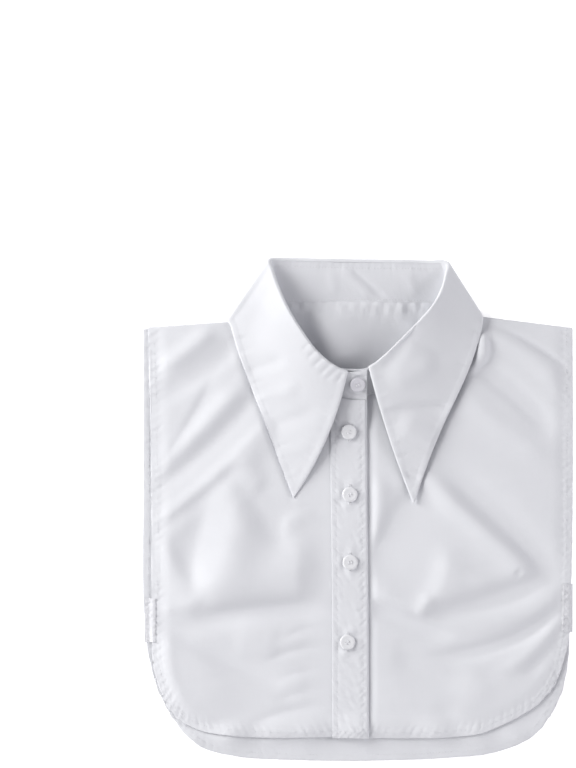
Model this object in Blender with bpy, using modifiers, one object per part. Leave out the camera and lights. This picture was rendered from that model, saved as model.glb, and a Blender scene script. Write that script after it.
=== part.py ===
"""Detachable shirt collar: a pointed collar on a short bib, buttoned and laid flat on its back.

Every piece that is cut and sewn is its own closed solid. The file is in metres with +Z up and
the cloth rests on z = 0. +Y runs from the hem to the neck, and a viewer above it sees +X on the
right, so that the wearer's right is on the -X side. Sizes and tables are in millimetres.
"""
import math
from collections import namedtuple

import bmesh
import bpy
import numpy as np

NAME = "detachable_shirt_collar"
MM = 0.001

# Cloth
PANEL_WALL = 1.0
COLLAR_WALL = 1.2
STRAP_WALL = 1.0
GAP = 0.3
SEAM = 0.35

# Collar
STAND_ROWS = 4
ROLL_ROWS = 5
ROLL_GAP = 0.6
FALL_ROWS = 6
COLLAR_STEP = 9.0

# Panels: where the fronts rise to the neck seam, where the right front laps over the left,
# and how much of the folds is left around the placket, along the hem and at the shoulder
OUTLINE_SAMPLES = 60
NECK_SAMPLES = 60
NECK_TRIM = 6
NECK_MIDDLE = (0.0, 130.0)
NECK_EASE = 26.0
LAP_FROM = -42.0
LAP_TO = -20.0
FOLD_SHARPNESS = 1.2
MIDDLE_FROM = -34.0
MIDDLE_TO = 24.0
MIDDLE_EASE = 12.0
PLACKET_DAMP = 0.8
HEM_LINE = -171.0
HEM_EASE = 22.0
HEM_KEEP = 0.45
SHOULDER_LINE = 138.0
SHOULDER_EASE = 16.0
SHOULDER_KEEP = 0.3

# Back panel: raised where it lies over the back of the leaf
LEAF_COVER = 1.6
LEAF_COVER_FROM = 125.0
LEAF_COVER_EASE = 9.0
LEAF_COVER_HALF_WIDTH = 99.0
LEAF_COVER_SIDE_EASE = 12.0

# Placket
PLACKET_TOP_RIGHT = 5.6
PLACKET_FOOT_RIGHT = 7.2
PLACKET_WIDTH = 26.4
PLACKET_FOOT = -170.7
PLACKET_CLEAR = 0.4
RIGHT_FRONT_EDGE = 7.7
LEFT_FRONT_EDGE = -17.0

# Buttons: an 18 line shirt button, 11.4 mm across
BUTTON_RADIUS = 5.7
BUTTON_HEIGHT = 2.4
BUTTON_DISH = 1.7
BUTTON_SIDES = 26
THREAD_HOLE_RADIUS = 0.75
THREAD_HOLE_SPACING = 1.35

BUTTON_TURN = 0.4

# Side straps: a short tape at each side from the front to the back, in columns that lie on
# the front or on the back, each lifted by its own amount over one panel and a gap
STRAP_ROWS = 5
STRAP_RIGHT_SPAN = (-99.5, -66.5)
STRAP_LEFT_SPAN = (-91.7, -55.7)
StrapColumn = namedtuple("StrapColumn", "x lies_on lift")
STRAP_RIGHT = (
    StrapColumn(-159.6, "back", 0.0),
    StrapColumn(-157.4, "back", 0.3),
    StrapColumn(-155.4, "front", 0.0),
    StrapColumn(-152.4, "front", 0.0),
    StrapColumn(-149.0, "front", 0.0),
)
STRAP_LEFT = (
    StrapColumn(152.4, "front", 0.0),
    StrapColumn(156.6, "front", 0.0),
    StrapColumn(159.6, "front", -0.1),
    StrapColumn(160.2, "front", -1.0),
    StrapColumn(160.3, "back", -1.0),
)

# Grids of the laid pieces (columns, rows) and how far they crowd towards the edges
BACK_GRID = (28, 24)
FRONT_GRID = (19, 32)
PLACKET_GRID = (3, 34)
BACK_CROWD = 1.7
FRONT_CROWD = 1.25

# Collar sections from the wearer's right front, around the back, to the left front.
# neck = seam to the panels, top = upper edge of the stand, edge = outer edge of the leaf,
# lean = the way that the leaf rolls out of the stand in degrees (0 over it, 90 and 270
# sideways, 180 under it), roll = radius of that fold, bow = sideways swell of the leaf.
Section = namedtuple("Section", "name neck top edge lean roll bow")
COLLAR_SECTIONS = (
    Section("right lap end", (6.5, 82.6, 8.6), (6.5, 102.2, 17.8), None, 5, 1.9, 0.0),
    Section("right front", (-8.0, 83.4, 7.8), (-8.0, 102.4, 17.6), (-48.3, 8.8, 5.8), 12, 1.9, -5.0),
    Section("right chest", (-20.0, 87.2, 6.8), (-19.8, 108.6, 18.4), (-55.6, 27.4, 6.0), 22, 2.0, -3.8),
    Section("right throat", (-33.0, 94.7, 6.0), (-31.5, 118.8, 19.2), (-62.9, 47.0, 6.4), 32, 2.0, -2.4),
    Section("right hollow", (-46.0, 106.9, 5.4), (-42.0, 133.0, 19.6), (-71.2, 69.5, 6.8), 40, 2.2, -1.5),
    Section("right side", (-58.0, 122.4, 5.0), (-52.3, 149.9, 19.2), (-80.9, 94.5, 7.0), 46, 2.4, 0.0),
    Section("right neck", (-68.0, 138.7, 4.8), (-59.7, 166.7, 16.4), (-89.5, 118.0, 6.8), 55, 2.6, 0.0),
    Section("right shoulder",
            (-73.8, 149.4, 4.6), (-63.8, 179.0, 13.4), (-95.2, 137.4, 6.0), 72, 2.8, 0.0),
    Section("right corner",
            (-75.6, 153.0, 4.2), (-65.2, 184.0, 12.0), (-97.4, 143.4, 3.5), 92, 3.0, 0.0),
    Section("right tuck", (-73.4, 154.4, 3.4), (-62.2, 184.2, 10.9), (-93.4, 144.2, 0.6), 130, 3.3, 0.0),
    Section("right back", (-65.0, 155.0, 2.6), (-55.0, 183.6, 9.4), (-82.0, 141.0, 0.6), 170, 3.9, 0.0),
    Section("half back", (-36.0, 155.4, 2.3), (-32.0, 183.2, 8.4), (-46.0, 140.0, 0.6), 180, 3.8, 0.0),
    Section("back", (0.0, 155.6, 2.2), (0.0, 182.8, 8.0), (0.0, 139.6, 0.6), 180, 3.7, 0.0),
    Section("half back", (36.0, 155.4, 2.3), (32.0, 182.4, 8.4), (46.0, 139.8, 0.6), 180, 3.8, 0.0),
    Section("left back", (65.0, 154.6, 2.6), (55.5, 181.8, 9.4), (79.0, 141.0, 0.6), 190, 3.9, 0.0),
    Section("left tuck", (73.4, 154.0, 3.4), (62.8, 182.0, 10.9), (88.6, 146.4, 0.6), 230, 3.3, 0.0),
    Section("left corner", (75.6, 152.6, 4.2), (66.0, 181.2, 12.0), (92.4, 146.2, 4.0), 268, 3.0, 0.0),
    Section("left shoulder", (73.6, 149.4, 4.6), (65.0, 176.0, 13.4), (92.8, 139.4, 6.6), 288, 2.8, 0.0),
    Section("left neck", (68.0, 139.4, 4.8), (61.8, 163.4, 16.2), (86.0, 114.6, 7.6), 305, 2.6, 0.0),
    Section("left side", (59.0, 126.6, 5.0), (55.0, 151.2, 18.8), (76.6, 91.6, 7.8), 314, 2.4, 0.0),
    Section("left hollow", (46.5, 112.6, 5.0), (44.6, 139.6, 19.4), (65.0, 67.0, 7.6), 320, 2.2, 0.0),
    Section("left throat", (33.5, 100.6, 5.0), (32.6, 127.6, 19.0), (55.4, 44.6, 7.2), 328, 2.0, 0.0),
    Section("left chest", (20.5, 91.4, 5.2), (20.6, 116.0, 18.2), (47.8, 23.6, 6.6), 338, 2.0, 1.2),
    Section("left front", (7.5, 85.6, 5.6), (7.6, 106.4, 17.2), (41.6, 4.6, 6.0), 348, 1.9, 1.9),
    Section("left lap end", (-17.0, 87.8, 4.8), (-16.6, 108.6, 14.8), None, 355, 1.9, 0.0),
)
FIRST_LEAF = 1
LAST_LEAF = len(COLLAR_SECTIONS) - 2
RIGHT_CORNER = 8
LEFT_CORNER = 16

# Outlines, each run of points smoothed: shoulder from the neck outwards, side downwards,
# hem from the round corner towards the middle.
Outline = namedtuple("Outline", "shoulder side hem")
BACK_RIGHT = Outline(
    shoulder=((-84.0, 141.4), (-96.5, 139.4), (-160.8, 135.1)),
    side=((-160.8, 135.1), (-160.9, 20.0), (-160.2, -80.0), (-158.6, -100.0), (-155.6, -116.0),
          (-150.6, -134.0), (-140.6, -154.1)),
    hem=((-140.6, -154.1), (-128.3, -169.6), (-116.0, -178.6), (-94.5, -184.3), (-43.5, -187.8),
         (0.0, -188.6)),
)
BACK_LEFT = Outline(
    shoulder=((84.0, 142.6), (91.0, 143.6), (160.7, 134.8)),
    side=((160.7, 134.8), (161.0, 76.0), (159.8, -55.7), (158.6, -92.0), (157.0, -117.0),
          (152.4, -138.0), (144.6, -154.0)),
    hem=((144.6, -154.0), (132.8, -168.6), (116.0, -177.6), (98.0, -183.0), (69.0, -186.0),
         (0.0, -188.6)),
)
FRONT_RIGHT = Outline(
    shoulder=((-84.0, 141.2), (-96.5, 139.2), (-157.3, 135.0)),
    side=((-157.3, 135.0), (-155.6, 70.0), (-154.6, 0.0), (-154.6, -80.0), (-154.2, -104.0),
          (-151.4, -126.0), (-142.5, -148.5)),
    hem=((-142.5, -148.5), (-131.0, -159.5), (-118.5, -165.4), (-94.5, -169.2), (-17.3, -170.4),
         (7.7, -171.3)),
)
FRONT_LEFT = Outline(
    shoulder=((84.0, 142.4), (91.0, 143.4), (160.4, 134.6)),
    side=((160.4, 134.6), (160.7, 76.0), (159.5, -55.7), (158.2, -92.0), (155.4, -108.0),
          (151.2, -123.0), (145.0, -135.0)),
    hem=((145.0, -135.0), (136.6, -144.4), (121.5, -154.6), (106.5, -162.2), (91.0, -167.8),
         (72.0, -170.0), (8.0, -171.0), (-17.0, -171.0)),
)

# Main folds of the fronts: a soft ridge (height > 0) or trough (height < 0) on an arc from
# start to end that swells sideways by bow, with its own width on each side.
Fold = namedtuple("Fold", "name start end bow height wide_left wide_right")
FOLDS = (
    Fold("right shoulder", (-94.0, 140.0), (-156.0, 100.0), -4.0, 2.4, 9.0, 10.0),
    Fold("right upper", (-88.0, 112.0), (-152.0, 34.0), -6.0, 3.2, 11.0, 9.0),
    Fold("right trough", (-81.0, 88.0), (-150.0, 16.0), -7.0, -2.4, 9.0, 9.0),
    Fold("right long", (-72.0, 78.0), (-156.0, -18.0), -8.0, 3.4, 11.0, 11.0),
    Fold("right hook", (-100.0, 14.0), (-124.0, -66.0), 12.0, 4.0, 10.0, 13.0),
    Fold("right belt", (-122.0, -79.0), (-22.0, -72.0), -8.0, -2.6, 9.0, 8.0),
    Fold("right inner", (-27.0, -18.0), (-56.0, -50.0), 0.0, -2.4, 10.0, 9.0),
    Fold("right swell", (-100.0, -58.0), (-40.0, -40.0), 4.0, 2.6, 16.0, 12.0),
    Fold("right low", (-144.0, -84.0), (-134.0, -148.0), 5.0, 1.8, 10.0, 10.0),
    Fold("left lens", (15.0, 40.0), (14.0, -24.0), 2.0, 3.0, 9.0, 9.0),
    Fold("left long", (52.0, 22.0), (140.0, -48.0), 7.0, 3.2, 11.0, 11.0),
    Fold("left trough", (70.0, 26.0), (152.0, -50.0), 7.0, -2.6, 9.0, 9.0),
    Fold("left hook", (66.0, -30.0), (48.0, -78.0), 4.0, 2.2, 9.0, 9.0),
    Fold("left belt", (52.0, -78.0), (142.0, -56.0), -5.0, -2.4, 9.0, 8.0),
    Fold("left strap", (112.0, -92.0), (148.0, -62.0), -2.0, 3.0, 9.0, 9.0),
    Fold("left side", (84.0, -112.0), (152.0, -77.0), -5.0, -2.0, 9.0, 8.0),
    Fold("left low", (108.0, -126.0), (152.0, -82.0), -3.0, 2.8, 9.0, 10.0),
    Fold("left upper", (92.0, 97.0), (153.0, 62.0), 3.0, -1.6, 12.0, 12.0),
)

# Buttons down the placket, then the one on the stand
PLACKET_BUTTONS = (
    ("button_1", -6.9, 58.1),
    ("button_2", -6.2, 11.3),
    ("button_3", -5.9, -39.5),
    ("button_4", -8.0, -99.2),
)
STAND_BUTTON_X = -0.5
STAND_BUTTON_RISE = 0.5

# Colour, roughness
SHIRTING = ("white_poplin", (0.86, 0.87, 0.89, 1.0), 0.8)
TAPE = ("white_tape", (0.80, 0.81, 0.83, 1.0), 0.85)
BUTTON_WHITE = ("button_white", (0.84, 0.83, 0.80, 1.0), 0.35)


def clear_scene():
    for item in list(bpy.data.objects):
        bpy.data.objects.remove(item, do_unlink=True)


def make_collection(name, parent):
    collection = bpy.data.collections.new(name)
    parent.children.link(collection)
    return collection


def make_material(name, colour, roughness):
    material = bpy.data.materials.new(name)
    material.use_nodes = True
    material.diffuse_color = colour
    shader = material.node_tree.nodes["Principled BSDF"]
    shader.inputs["Base Color"].default_value = colour
    shader.inputs["Roughness"].default_value = roughness
    return material


def ease(value):
    """Smooth step from 0 to 1."""
    value = np.clip(value, 0.0, 1.0)
    return value * value * (3.0 - 2.0 * value)


def lengths(points):
    """Distance along a run of points, from 0 at the first."""
    steps = np.linalg.norm(np.diff(points, axis=0), axis=1)
    return np.concatenate(([0.0], np.cumsum(steps)))


def curve(knots, values, at):
    """Smooth curve through the values at the knots, read at the given places."""
    knots = np.asarray(knots, float)
    values = np.asarray(values, float).reshape(len(knots), -1)
    gaps = np.diff(knots)[:, None]
    slopes = np.diff(values, axis=0) / gaps
    middle = (slopes[:-1] * gaps[1:] + slopes[1:] * gaps[:-1]) / (gaps[1:] + gaps[:-1])
    tangents = np.concatenate((slopes[:1], middle, slopes[-1:]))
    at = np.asarray(at, float)
    left = np.clip(np.searchsorted(knots, at, side="right") - 1, 0, len(knots) - 2)
    width = gaps[left]
    f = ((at - knots[left]) / width[:, 0])[:, None]
    start = values[left] * (1 + 2 * f) * (1 - f) ** 2 + values[left + 1] * f * f * (3 - 2 * f)
    return start + width * (tangents[left] * f * (1 - f) ** 2 - tangents[left + 1] * f * f * (1 - f))


def unit(vectors):
    return vectors / np.linalg.norm(vectors, axis=-1, keepdims=True)


# Knots of the collar: the distance along the top of the stand
TOPS = np.array([section.top for section in COLLAR_SECTIONS])
NECKS = np.array([section.neck for section in COLLAR_SECTIONS])
KNOTS = lengths(TOPS)
LEAF_KNOTS = KNOTS[FIRST_LEAF:LAST_LEAF + 1]


def collar_stations(first, last):
    """Places along the collar, closer together where a section fans out."""
    places = []
    for index in range(first, last):
        here = COLLAR_SECTIONS[index]
        after = COLLAR_SECTIONS[index + 1]
        reach = [math.dist(here.top, after.top), math.dist(here.neck, after.neck)]
        if here.edge and after.edge:
            reach.append(0.7 * math.dist(here.edge, after.edge))
        steps = max(1, round(max(reach) / COLLAR_STEP))
        places.extend(np.linspace(KNOTS[index], KNOTS[index + 1], steps, endpoint=False))
    return np.array(places + [KNOTS[last]])


def stand_line(column, at):
    """Points of the neck seam (NECKS) or of the stand's upper edge (TOPS)."""
    return curve(KNOTS, column, at)


def leaf_column(field, at):
    rows = [getattr(section, field) for section in COLLAR_SECTIONS[FIRST_LEAF:LAST_LEAF + 1]]
    return curve(LEAF_KNOTS, rows, at)


def neck_run(first, last, count):
    """Neck seam from one section to another, given by their places in the table."""
    return stand_line(NECKS, np.linspace(KNOTS[first], KNOTS[last], count))


NECK_OF_RIGHT_FRONT = neck_run(0, RIGHT_CORNER, NECK_SAMPLES)
NECK_OF_LEFT_FRONT = neck_run(len(COLLAR_SECTIONS) - 1, LEFT_CORNER, NECK_SAMPLES)
NECK_OF_BACK = neck_run(RIGHT_CORNER, LEFT_CORNER, NECK_SAMPLES)


def leaf_sections(at):
    """Leaf surface, one row of points for each place along the collar."""
    top = stand_line(TOPS, at)
    rise = unit(top - stand_line(NECKS, at))
    edge = leaf_column("edge", at)
    roll = leaf_column("roll", at)
    bow = leaf_column("bow", at)
    lean = np.radians(leaf_column("lean", at))
    outside = np.concatenate((-np.sin(lean), 0.0 * lean, np.cos(lean)), axis=1)
    out = unit(outside - np.sum(outside * rise, axis=1, keepdims=True) * rise)
    start = top + ROLL_GAP * rise
    centre = start + roll * out
    end = start
    for _ in range(6):
        fall = edge - end
        turn = np.arctan2(np.sum(fall * out, axis=1), np.sum(fall * rise, axis=1))
        turn = np.mod(turn, 2.0 * math.pi)[:, None]
        end = centre + roll * (rise * np.sin(turn) - out * np.cos(turn))
    side = unit(np.cross(edge - end, (0.0, 0.0, 1.0)))
    rows = []
    for step in np.linspace(0.0, 1.0, ROLL_ROWS + 1):
        angle = turn * step
        rows.append(centre + roll * (rise * np.sin(angle) - out * np.cos(angle)))
    for step in np.linspace(0.0, 1.0, FALL_ROWS + 1)[1:]:
        swell = 4.0 * step * (1.0 - step)
        rows.append(end + (edge - end) * step + side * bow * swell)
    surface = np.stack(rows, axis=1)
    surface[..., 2] = np.maximum(surface[..., 2], 0.5 * COLLAR_WALL)
    return surface


def stand_sections(at):
    """Stand surface from the neck seam to its upper edge."""
    neck = stand_line(NECKS, at)
    top = stand_line(TOPS, at)
    steps = np.linspace(0.0, 1.0, STAND_ROWS + 1)[None, :, None]
    return neck[:, None, :] + (top - neck)[:, None, :] * steps


def fold_height(x, y):
    """Sum of the main folds, never below the cloth's lowest lie."""
    total = np.zeros_like(x)
    for fold in FOLDS:
        start = np.array(fold.start)
        run = np.array(fold.end) - start
        length = math.hypot(*run)
        along = ((x - start[0]) * run[0] + (y - start[1]) * run[1]) / length ** 2
        across = ((x - start[0]) * run[1] - (y - start[1]) * run[0]) / length
        across = across - fold.bow * 4.0 * along * (1.0 - along)
        width = np.where(across < 0.0, fold.wide_left, fold.wide_right)
        ends = ease((along + 0.15) / 0.4) * ease((1.15 - along) / 0.4)
        total += fold.height * ends * np.exp(-(across / width) ** 2)
    return np.logaddexp(0.0, FOLD_SHARPNESS * total) / FOLD_SHARPNESS


def back_height(x, y):
    """Underside of the back panel: flat, but raised where it lies over the back of the leaf."""
    along = ease((y - LEAF_COVER_FROM) / LEAF_COVER_EASE)
    across = ease((LEAF_COVER_HALF_WIDTH - np.abs(x)) / LEAF_COVER_SIDE_EASE)
    return LEAF_COVER * along * across


def near_neck(x, y, neck):
    """Distance from a neck seam in plan, and the height of its nearest point."""
    gap = np.hypot(x[..., None] - neck[:, 0], y[..., None] - neck[:, 1])
    return gap.min(axis=-1), neck[gap.argmin(axis=-1), 2]


def front_height(x, y, neck, lap):
    """Underside of a front panel."""
    flat = back_height(x, y) + PANEL_WALL + GAP
    middle = ease((x - MIDDLE_FROM) / MIDDLE_EASE) * ease((MIDDLE_TO - x) / MIDDLE_EASE)
    hem = HEM_KEEP + (1.0 - HEM_KEEP) * ease((y - HEM_LINE) / HEM_EASE)
    shoulder = SHOULDER_KEEP + (1.0 - SHOULDER_KEEP) * ease((SHOULDER_LINE - y) / SHOULDER_EASE)
    height = flat + fold_height(x, y) * (1.0 - PLACKET_DAMP * middle) * hem * shoulder
    height += lap * (PANEL_WALL + GAP) * ease((x - LAP_FROM) / (LAP_TO - LAP_FROM))
    gap, seam = near_neck(x, y, neck)
    return height + np.maximum(seam - 0.5 * PANEL_WALL - height, 0.0) * (1.0 - ease(gap / NECK_EASE))


def right_front_height(x, y):
    return front_height(x, y, NECK_OF_RIGHT_FRONT, 1.0)


def left_front_height(x, y):
    return front_height(x, y, NECK_OF_LEFT_FRONT, 0.0)


def placket_height(x, y):
    return right_front_height(x, y) + PANEL_WALL + GAP


def smooth_run(points, count):
    """Evenly spaced points on the smooth curve through a short run of points."""
    points = np.asarray(points, float)
    knots = lengths(points)
    return curve(knots, points, np.linspace(0.0, knots[-1], count))


def spread(points, at):
    """Points at the given shares of the length of a dense run."""
    knots = lengths(points)
    at = np.asarray(at) * knots[-1]
    return np.stack([np.interp(at, knots, points[:, axis]) for axis in range(2)], axis=-1)


def away_from_seam(neck, distance):
    """Neck seam moved in plan away from the neck opening's middle."""
    along = unit(np.gradient(neck[:, :2], axis=0))
    normal = np.stack([along[:, 1], -along[:, 0]], axis=-1)
    outward = np.sign(np.sum(normal * (neck[:, :2] - np.array(NECK_MIDDLE)), axis=1))[:, None]
    return neck[:, :2] + distance * normal * outward


def patch(top, bottom, left, right):
    """Function that fills four boundary runs, each read by its share of length."""
    def place(a, b):
        shape = a.shape
        a = a.reshape(-1)
        b = b.reshape(-1)
        s = a[:, None]
        t = b[:, None]
        corners = ((1 - s) * (1 - t) * bottom[0] + s * (1 - t) * bottom[-1]
                   + (1 - s) * t * top[0] + s * t * top[-1])
        points = ((1 - t) * spread(bottom, a) + t * spread(top, a)
                  + (1 - s) * spread(left, b) + s * spread(right, b) - corners)
        return points[:, 0].reshape(shape), points[:, 1].reshape(shape)
    return place


def front_patch(outline, neck, centre_x):
    """Front panel's plan: a runs from -X to +X and b from the hem to the neck."""
    seam = away_from_seam(neck, SEAM + 0.5 * COLLAR_WALL)[:-NECK_TRIM]
    top = np.concatenate((seam, np.array(outline.shoulder)))
    side = smooth_run(outline.side, OUTLINE_SAMPLES)
    hem = smooth_run(outline.hem, OUTLINE_SAMPLES)
    hem[-1][0] = centre_x
    centre = np.linspace(top[0], hem[-1], OUTLINE_SAMPLES)
    if outline.shoulder[-1][0] < 0.0:
        return patch(top[::-1], hem, side[::-1], centre[::-1])
    return patch(top, hem[::-1], centre[::-1], side[::-1])


def back_patch():
    """Back panel's plan: a runs from -X to +X and b from the hem to the neck."""
    seam = NECK_OF_BACK[:, :2] - np.array((0.0, SEAM + 0.5 * COLLAR_WALL))
    top = np.concatenate((np.array(BACK_RIGHT.shoulder)[::-1], seam, np.array(BACK_LEFT.shoulder)))
    hem_right = smooth_run(BACK_RIGHT.hem, OUTLINE_SAMPLES)
    hem_left = smooth_run(BACK_LEFT.hem, OUTLINE_SAMPLES)
    hem = np.concatenate((hem_right, hem_left[::-1][1:]))
    return patch(top, hem, smooth_run(BACK_RIGHT.side, OUTLINE_SAMPLES)[::-1],
                 smooth_run(BACK_LEFT.side, OUTLINE_SAMPLES)[::-1])


def make_sheet(name, columns, rows, place, wall, offset, material, collection):
    """Cloth wall from a grid: place(a, b) gives the points, a and b run from 0 to 1."""
    mesh = bpy.data.meshes.new(name)
    grid = bmesh.new()
    bmesh.ops.create_grid(grid, x_segments=columns, y_segments=rows, size=0.5)
    a = np.array([vert.co.x + 0.5 for vert in grid.verts])
    b = np.array([vert.co.y + 0.5 for vert in grid.verts])
    points = place(a, b)
    for vert, point in zip(grid.verts, points):
        vert.co = [value * MM for value in point]
    grid.to_mesh(mesh)
    grid.free()
    mesh.materials.append(material)
    for polygon in mesh.polygons:
        polygon.use_smooth = True
    item = bpy.data.objects.new(name, mesh)
    collection.objects.link(item)
    solid = item.modifiers.new("wall", "SOLIDIFY")
    solid.thickness = wall * MM
    solid.offset = offset
    solid.use_even_offset = False
    solid.use_quality_normals = True
    return item


def laid(plan, height, crowd=1.0):
    """Placer that lays a plan on a height; crowd > 1 moves rows closer at the neck."""
    def place(a, b):
        x, y = plan(a, 1.0 - (1.0 - b) ** crowd)
        return np.stack([x, y, height(x, y)], axis=-1)
    return place


def band(table):
    """Placer for a table of points: a picks the section and b the row across it."""
    def place(a, b):
        section = np.rint(a * (table.shape[0] - 1)).astype(int)
        row = np.rint(b * (table.shape[1] - 1)).astype(int)
        return table[section, row]
    return place


def placket_plan(a, b):
    """Band down the front edge of the right front, from the hem to the neck seam."""
    edge = PLACKET_TOP_RIGHT + (PLACKET_FOOT_RIGHT - PLACKET_TOP_RIGHT) * (1.0 - b)
    x = edge - PLACKET_WIDTH * (1.0 - a)
    seam = away_from_seam(NECK_OF_RIGHT_FRONT, SEAM + 0.5 * COLLAR_WALL + PLACKET_CLEAR)
    top = np.interp(-x, -seam[:, 0], seam[:, 1])
    return x, PLACKET_FOOT + (top - PLACKET_FOOT) * b


def make_button(name, x, y, height, tilt, material, collection, cutters):
    """Turned button with a dished face and four thread holes."""
    profile = (
        (0.0, BUTTON_DISH),
        (3.3, BUTTON_DISH),
        (4.2, BUTTON_HEIGHT),
        (4.9, BUTTON_HEIGHT),
        (BUTTON_RADIUS, 0.6 * BUTTON_HEIGHT),
        (BUTTON_RADIUS - 0.3, 0.7),
        (BUTTON_RADIUS - 1.5, 0.0),
        (0.0, 0.0),
    )
    mesh = bpy.data.meshes.new(name)
    outline = bmesh.new()
    verts = [outline.verts.new((radius * MM, 0.0, z * MM)) for radius, z in profile]
    for first, second in zip(verts, verts[1:]):
        outline.edges.new((first, second))
    outline.to_mesh(mesh)
    outline.free()
    mesh.materials.append(material)
    button = bpy.data.objects.new(name, mesh)
    collection.objects.link(button)
    turn = button.modifiers.new("turn", "SCREW")
    turn.steps = BUTTON_SIDES
    turn.render_steps = BUTTON_SIDES
    turn.use_merge_vertices = True
    turn.merge_threshold = 0.00001
    holes = bpy.data.collections.new(name + "_holes")
    cutters.children.link(holes)
    for across in (-1, 1):
        for along in (-1, 1):
            cutter_mesh = bpy.data.meshes.new(name + "_hole")
            drill = bmesh.new()
            bmesh.ops.create_cone(
                drill, cap_ends=True, segments=8, radius1=THREAD_HOLE_RADIUS * MM,
                radius2=THREAD_HOLE_RADIUS * MM, depth=4.0 * BUTTON_HEIGHT * MM)
            drill.to_mesh(cutter_mesh)
            drill.free()
            cutter = bpy.data.objects.new(name + "_hole", cutter_mesh)
            cutter.location = (across * THREAD_HOLE_SPACING * MM, along * THREAD_HOLE_SPACING * MM, 0.0)
            cutter.parent = button
            cutter.hide_render = True
            cutter.display_type = "WIRE"
            holes.objects.link(cutter)
    bore = button.modifiers.new("thread holes", "BOOLEAN")
    bore.operation = "DIFFERENCE"
    bore.operand_type = "COLLECTION"
    bore.collection = holes
    bore.solver = "EXACT"
    button.location = (x * MM, y * MM, height * MM)
    button.rotation_euler = (math.radians(tilt[0]), 0.0, math.radians(tilt[1]))
    return button


def highest(height, x, y, radius):
    """Highest point of a surface under a round piece."""
    turn = np.linspace(0.0, 2.0 * math.pi, 25)
    ring_x = np.concatenate([x + share * radius * np.cos(turn) for share in (0.3, 0.65, 1.0)])
    ring_y = np.concatenate([y + share * radius * np.sin(turn) for share in (0.3, 0.65, 1.0)])
    return float(height(ring_x, ring_y).max())


def strap_table(columns, span, front_height):
    """Tape across a side edge: one column of points for each column of its table."""
    y = np.linspace(span[0], span[1], STRAP_ROWS + 1)
    surfaces = {"front": front_height, "back": back_height}
    table = []
    for column in columns:
        across = np.full_like(y, column.x)
        height = surfaces[column.lies_on](across, y) + PANEL_WALL + GAP + column.lift
        table.append(np.stack([across, y, height], axis=-1))
    return np.stack(table)


def build():
    clear_scene()
    garment = make_collection(NAME, bpy.context.scene.collection)
    cutters = make_collection("cutters", bpy.context.scene.collection)
    cloth = make_material(*SHIRTING)
    tape = make_material(*TAPE)
    button_white = make_material(*BUTTON_WHITE)

    make_sheet("back_panel", *BACK_GRID, laid(back_patch(), back_height, BACK_CROWD),
               PANEL_WALL, 1.0, cloth, garment)
    left_plan = front_patch(FRONT_LEFT, NECK_OF_LEFT_FRONT, LEFT_FRONT_EDGE)
    make_sheet("front_left", *FRONT_GRID, laid(left_plan, left_front_height, FRONT_CROWD),
               PANEL_WALL, 1.0, cloth, garment)
    right_plan = front_patch(FRONT_RIGHT, NECK_OF_RIGHT_FRONT, RIGHT_FRONT_EDGE)
    make_sheet("front_right", *FRONT_GRID, laid(right_plan, right_front_height, FRONT_CROWD),
               PANEL_WALL, 1.0, cloth, garment)
    make_sheet("placket", *PLACKET_GRID, laid(placket_plan, placket_height),
               PANEL_WALL, 1.0, cloth, garment)

    stand = stand_sections(collar_stations(0, len(COLLAR_SECTIONS) - 1))
    make_sheet("collar_stand", stand.shape[0] - 1, stand.shape[1] - 1, band(stand),
               COLLAR_WALL, 0.0, cloth, garment)
    leaf = leaf_sections(collar_stations(FIRST_LEAF, LAST_LEAF))
    make_sheet("collar_leaf", leaf.shape[0] - 1, leaf.shape[1] - 1, band(leaf),
               COLLAR_WALL, 0.0, cloth, garment)

    for name, x, y in PLACKET_BUTTONS:
        top = highest(placket_height, x, y, BUTTON_RADIUS) + PANEL_WALL + GAP
        make_button(name, x, y, top, (0.0, BUTTON_TURN * y), button_white, garment, cutters)
    lap = COLLAR_SECTIONS[0]
    height = lap.top[2] - lap.neck[2]
    run = lap.top[1] - lap.neck[1]
    slope = math.atan2(height, run)
    share = STAND_BUTTON_RISE
    middle_y = lap.neck[1] + share * run
    middle_z = lap.neck[2] + share * height
    lift = 0.5 * COLLAR_WALL + GAP
    make_button("button_stand", STAND_BUTTON_X, middle_y - lift * math.sin(slope),
                middle_z + lift * math.cos(slope), (math.degrees(slope), 0.0),
                button_white, garment, cutters)

    right_tape = strap_table(STRAP_RIGHT, STRAP_RIGHT_SPAN, right_front_height)
    make_sheet("side_strap_right", len(STRAP_RIGHT) - 1, STRAP_ROWS, band(right_tape),
               STRAP_WALL, 1.0, tape, garment)
    left_tape = strap_table(STRAP_LEFT, STRAP_LEFT_SPAN, left_front_height)
    make_sheet("side_strap_left", len(STRAP_LEFT) - 1, STRAP_ROWS, band(left_tape),
               STRAP_WALL, 1.0, tape, garment)


build()
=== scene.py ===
"""Finish of the laid shirt collar: fine cloth shells, hems, stitching, buttons, light and camera.

The frame is the CAD model's: metres, +Z up, the garment lies on z = 0, +Y runs from the hem to
the neck and the wearer's right is on -X. Sizes and tables here are in millimetres.
"""
import math
from collections import namedtuple

import bmesh
import bpy
import numpy as np
from mathutils import Matrix, Vector


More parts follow.
